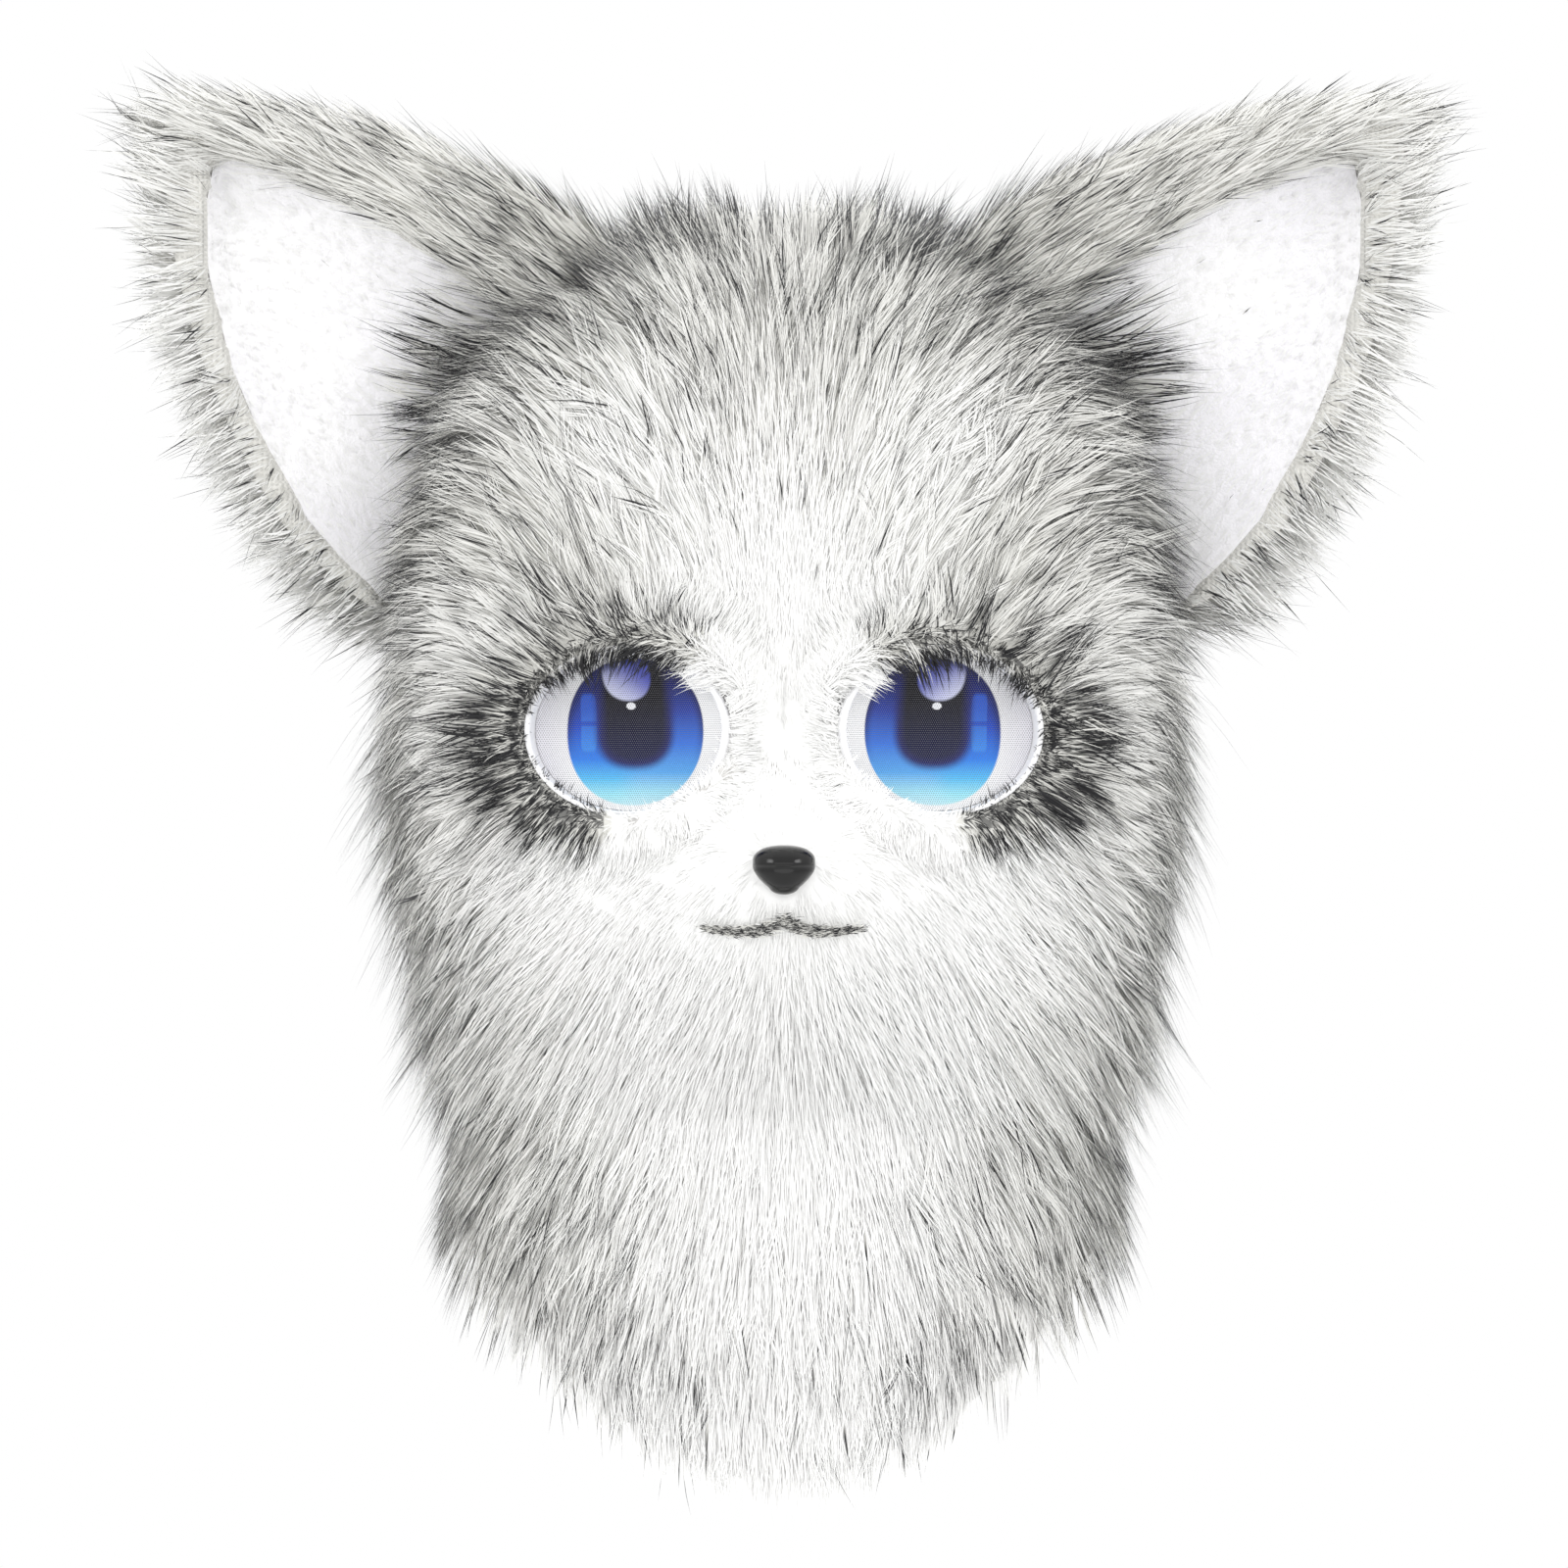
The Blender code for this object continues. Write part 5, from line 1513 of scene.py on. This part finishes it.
def welt_pelt(side, wanted, chance):
    """Roots of the short hair that closes the coat against an eye's ring."""
    eyes = bpy.context.scene.eye_sizes
    inner, welt = 1.05, 0.24
    turn = chance.uniform(0, math.tau, wanted)
    share = inner + welt * chance.uniform(0, 1, wanted)
    points = from_eye(side, np.stack((np.cos(turn) * share * eyes.width / 2,
                                      np.sin(turn) * share * eyes.height / 2,
                                      -0.0022 - (share - inner) * 0.010), axis=1))
    _, away, place = around_eyes(points)
    normals = unit(np.array(eye_matrix(side))[:3, 2] + away * 0.35)
    pelt, _ = dress_pelt(combed_pelt(HEAD_STROKES, HEAD_SHADES, points, normals), 1.0)
    brow = place[:, 1] > 0.45
    inward = (chance.uniform(0, 1, wanted) < np.where(brow, 0.6, 0.3))[:, None]
    lie = flatten(np.where(inward, pelt.lie, away + pelt.lie * 0.4), pelt.normals)
    length = np.where(inward[:, 0], np.where(brow, 0.013, 0.004), 0.008)
    return pelt._replace(lie=lie, length=length, rise=np.full(wanted, 0.34))


def fringe_pelt(side, chance):
    """Roots of the hair round an eye: thicker coat near the ring, and the welt at the ring."""
    wanted = HAIR["fringe"].roots
    span = sorted((side * 0.02, side * 1.25))
    points, normals, _, _ = scatter(head_form, span, (0.32, 0.85), ROOT_TRIES, chance)
    share = around_eyes(points)[0]
    keep = (share < 1.62) & (chance.uniform(0, 1, len(share)) < (1.9 - share) / 0.7)
    points, normals = points[keep][:wanted], normals[keep][:wanted]
    coat = lifted(clear_pelt(combed_pelt(HEAD_STROKES, HEAD_SHADES, points, normals)))
    welt = welt_pelt(side, WELT_ROOTS, chance)
    return Pelt(*(np.concatenate(pair) for pair in zip(coat, welt)))


class COSTUME_OT_eyes(bpy.types.Operator):
    """Make the plastic rings of the eyes and their printed meshes"""

    bl_idname = "costume.eyes"
    bl_label = "Eyes"

    def execute(self, context):
        plastic = plastic_material("eye_plastic", (0.90, 0.90, 0.91), 0.26, (0.84, 0.84, 0.86))
        printed = screen_material()
        for side, tag in SIDES:
            dress(make_eye_ring(side, tag), plastic, "eye_plastic", f"eye_rim_{tag}")
            dress(make_eye_screen(side, tag), printed, "eye_mesh", f"eye_mesh_{tag}")
            chance = np.random.default_rng(ROOT_SEEDS["eye"] + side)
            fringe = grow_fur(f"eye_fringe_{tag}", fringe_pelt(side, chance), HAIR["fringe"],
                              HAIR_SEEDS["fringe"] + side)
            dress(fringe, hair_material(), "grey_fur", "face_fur", f"cheek_fur_{tag}")
        return {"FINISHED"}


class COSTUME_OT_nose(bpy.types.Operator):
    """Mould the nose"""

    bl_idname = "costume.nose"
    bl_label = "Nose"

    def execute(self, context):
        head = context.scene.head_sizes
        nose = rounded_blank("nose_cap", 64, 40)
        ball = read_points(nose.data)
        up = ball[:, 2]
        width = read_outline(NOSE_WIDTHS, up)
        low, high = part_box("nose")
        seat, reach = high[1], high[1] - low[1]
        lobe = read_outline(NOSE_REACHES, up)
        groove = 0.05 * np.exp(-(ball[:, 0] / 0.16) ** 2) * ease((up + 0.6) / 0.8)
        forward = np.maximum(-ball[:, 1], 0.0) ** 0.8
        ball = np.stack((ball[:, 0] * width * head.nose_width / 2,
                         seat - forward * (lobe - groove) * reach,
                         up * head.nose_height / 2 - head.nose_drop), axis=1)
        move_points(nose, ball)
        close_piece(nose)
        material, shader, start = new_material("nose_gloss", 0.20, Specular_IOR_Level=0.42)
        place = object_place(start)
        grain = noise(place, 1400.0)
        wear = noise(place, 260.0, 3.0)
        shade = wear.fade(0.45, 0.75).blend(colour((0.002, 0.002, 0.002)),
                                            colour((0.005, 0.005, 0.005)))
        connect(shade, shader, "Base Color")
        connect(0.13 + wear.fade(0.4, 0.8) * 0.09, shader, "Roughness")
        add_bump(start, shader, grain, 0.00003)
        dress(nose, material, "nose_plastic", "nose")
        return {"FINISHED"}


class COSTUME_OT_mouth(bpy.types.Operator):
    """Grow the dark hair of the mouth line"""

    bl_idname = "costume.mouth"
    bl_label = "Mouth line"

    def execute(self, context):
        head = context.scene.head_sizes
        look = HAIR["mouth"]
        chance = np.random.default_rng(ROOT_SEEDS["mouth"])
        points, normals, _, _ = scatter(head_form, (-0.28, 0.28), (0.79, 0.88), look.roots, chance)
        share = points[:, 0] / (head.mouth_width / 2)
        off = points[:, 2] + head.mouth_drop - read_outline(MOUTH_CURVE, np.abs(share))
        spread = 0.0008 * (1.1 - 0.5 * np.abs(share))
        keep = chance.uniform(0, 1, len(off)) < np.exp(-(off / spread) ** 2 / 2)
        keep &= np.abs(share) < 1 + chance.normal(0, 0.03, len(off))
        points, normals, share = points[keep], normals[keep], share[keep]
        count = len(points)
        slope = np.where(np.abs(share) < 0.35, -0.12, 0.02) * np.sign(share)
        lie = np.stack((np.ones(count), np.zeros(count), slope), axis=1)
        lie *= np.where(chance.uniform(0, 1, count) < 0.5, 1.0, -1.0)[:, None]
        full = np.ones(count)
        pelt = Pelt(points + normals * 0.0042, normals, flatten(lie, normals), full * 0.0036,
                    full * 0.14, full, full)
        line = grow_fur("mouth_shade", pelt, look, HAIR_SEEDS["mouth"])
        dress(line, hair_material(), "mouth_cord", "mouth_line")
        return {"FINISHED"}


class COSTUME_OT_padding(bpy.types.Operator):
    """Finish the padded shell and hang the cloth collar"""

    bl_idname = "costume.padding"
    bl_label = "Padding and collar"

    def execute(self, context):
        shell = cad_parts["head_shell"]
        cover = cloth_material("padding_cover", (0.80, 0.79, 0.77), 0.0011)
        for part in shell.material_slots:
            part.material = cover

        select_none()
        bpy.ops.mesh.primitive_cylinder_add(vertices=144, radius=1.0, depth=1.0,
                                            end_fill_type="NOTHING")
        collar = context.object
        collar.name = "collar_cloth"
        bpy.ops.object.mode_set(mode="EDIT")
        bpy.ops.mesh.select_all(action="SELECT")
        bpy.ops.mesh.subdivide(number_cuts=1)
        bpy.ops.object.mode_set(mode="OBJECT")
        tube = read_points(collar.data)
        angle = np.arctan2(tube[:, 0], -tube[:, 1])
        place = 0.5 - tube[:, 2]
        fold = 0.0008 * np.sin(angle * 22 + 1.3 * np.sin(angle * 5)) * place
        points, normals, _ = form_and_normal(collar_form, angle, place)
        move_points(collar, points + normals * (fold - 0.0016)[:, None])
        thicken = collar.modifiers.new("cloth", "SOLIDIFY")
        thicken.thickness = 0.0010
        thicken.offset = 0
        select_alone(collar)
        bpy.ops.object.modifier_apply(modifier="cloth")
        close_piece(collar)
        dress(collar, cloth_material("collar_weave", (0.82, 0.81, 0.79), 0.0009),
              "collar_cloth", "neck_collar")
        return {"FINISHED"}


class COSTUME_OT_stage(bpy.types.Operator):
    """Set up the floor, the lights and the camera"""

    bl_idname = "costume.stage"
    bl_label = "Studio"

    def execute(self, context):
        studio = context.scene.studio_sizes
        select_none()
        bpy.ops.mesh.primitive_circle_add(vertices=96, radius=7.0, fill_type="NGON",
                                          location=(0, 0, -1.25))
        floor = context.object
        floor.name = "studio_floor"
        bpy.ops.object.transform_apply(location=True, rotation=True, scale=True)
        material, shader, start = new_material("studio_floor", 0.9)
        mottle = noise(object_place(start), 3.0)
        shade = mottle.fade(0.3, 0.7).blend(colour((0.93, 0.93, 0.93)), colour((0.95, 0.95, 0.95)))
        connect(shade, shader, "Base Color")
        floor.data.materials.append(material)

        world = bpy.data.worlds.new("studio")
        world.use_nodes = True
        sky = world.node_tree.nodes["Background"]
        sky.inputs["Color"].default_value = (1.0, 1.0, 1.0, 1.0)
        sky.inputs["Strength"].default_value = 1.0
        context.scene.world = world

        middle = Vector((0, 0, -0.12))
        lamps = (
            ("front", (0.0, -3.1, 0.3), 2.6, 15.0),
            ("left", (-1.2, -1.15, 1.05), 0.7, 6.5),
            ("right", (1.2, -1.15, 1.05), 0.7, 6.5),
            ("back", (0.0, 2.2, 1.8), 1.5, 18.0),
        )
        for name, place, size, power in lamps:
            bpy.ops.object.light_add(type="AREA", location=place)
            lamp = context.object
            lamp.name = name
            lamp.data.size = size
            lamp.data.energy = power
            lamp.visible_camera = False
            aim = middle - Vector(place)
            lamp.rotation_euler = aim.to_track_quat("-Z", "Y").to_euler()

        ears_plane, sensor = -0.02, 36.0
        bpy.ops.object.camera_add(location=(0, ears_plane - studio.distance, studio.height),
                                  rotation=(math.pi / 2, 0, 0))
        camera = context.object
        camera.name = "camera"
        camera.data.sensor_width = sensor
        camera.data.lens = sensor * studio.distance / studio.field
        camera.data.clip_end = 100.0
        context.scene.camera = camera
        context.scene.view_settings.view_transform = "Standard"
        return {"FINISHED"}


class COSTUME_PT_panel(bpy.types.Panel):
    """Buttons for the pieces of the head"""

    bl_label = "Costume head"
    bl_idname = "COSTUME_PT_panel"
    bl_space_type = "VIEW_3D"
    bl_region_type = "UI"
    bl_category = "Costume head"

    def draw(self, context):
        for operator in OPERATORS:
            self.layout.operator(operator.bl_idname)


GROUPS = {
    "head_sizes": HeadSizes,
    "eye_sizes": EyeSizes,
    "ear_sizes": EarSizes,
    "coat_colours": CoatColours,
    "studio_sizes": StudioSizes,
}
OPERATORS = (COSTUME_OT_padding, COSTUME_OT_coat, COSTUME_OT_ruff, COSTUME_OT_ears,
             COSTUME_OT_eyes, COSTUME_OT_nose, COSTUME_OT_mouth, COSTUME_OT_stage)


def register():
    for kind in (*GROUPS.values(), *OPERATORS, COSTUME_PT_panel):
        bpy.utils.register_class(kind)
    for name, group in GROUPS.items():
        setattr(bpy.types.Scene, name, bpy.props.PointerProperty(type=group))


def unregister():
    for name in GROUPS:
        delattr(bpy.types.Scene, name)
    for kind in reversed((*GROUPS.values(), *OPERATORS, COSTUME_PT_panel)):
        bpy.utils.unregister_class(kind)


def main():
    register()
    bpy.ops.costume.padding()
    bpy.ops.costume.coat()
    bpy.ops.costume.ruff()
    bpy.ops.costume.ears()
    bpy.ops.costume.eyes()
    bpy.ops.costume.nose()
    bpy.ops.costume.mouth()
    bpy.ops.costume.stage()


if __name__ == "__main__":
    main()
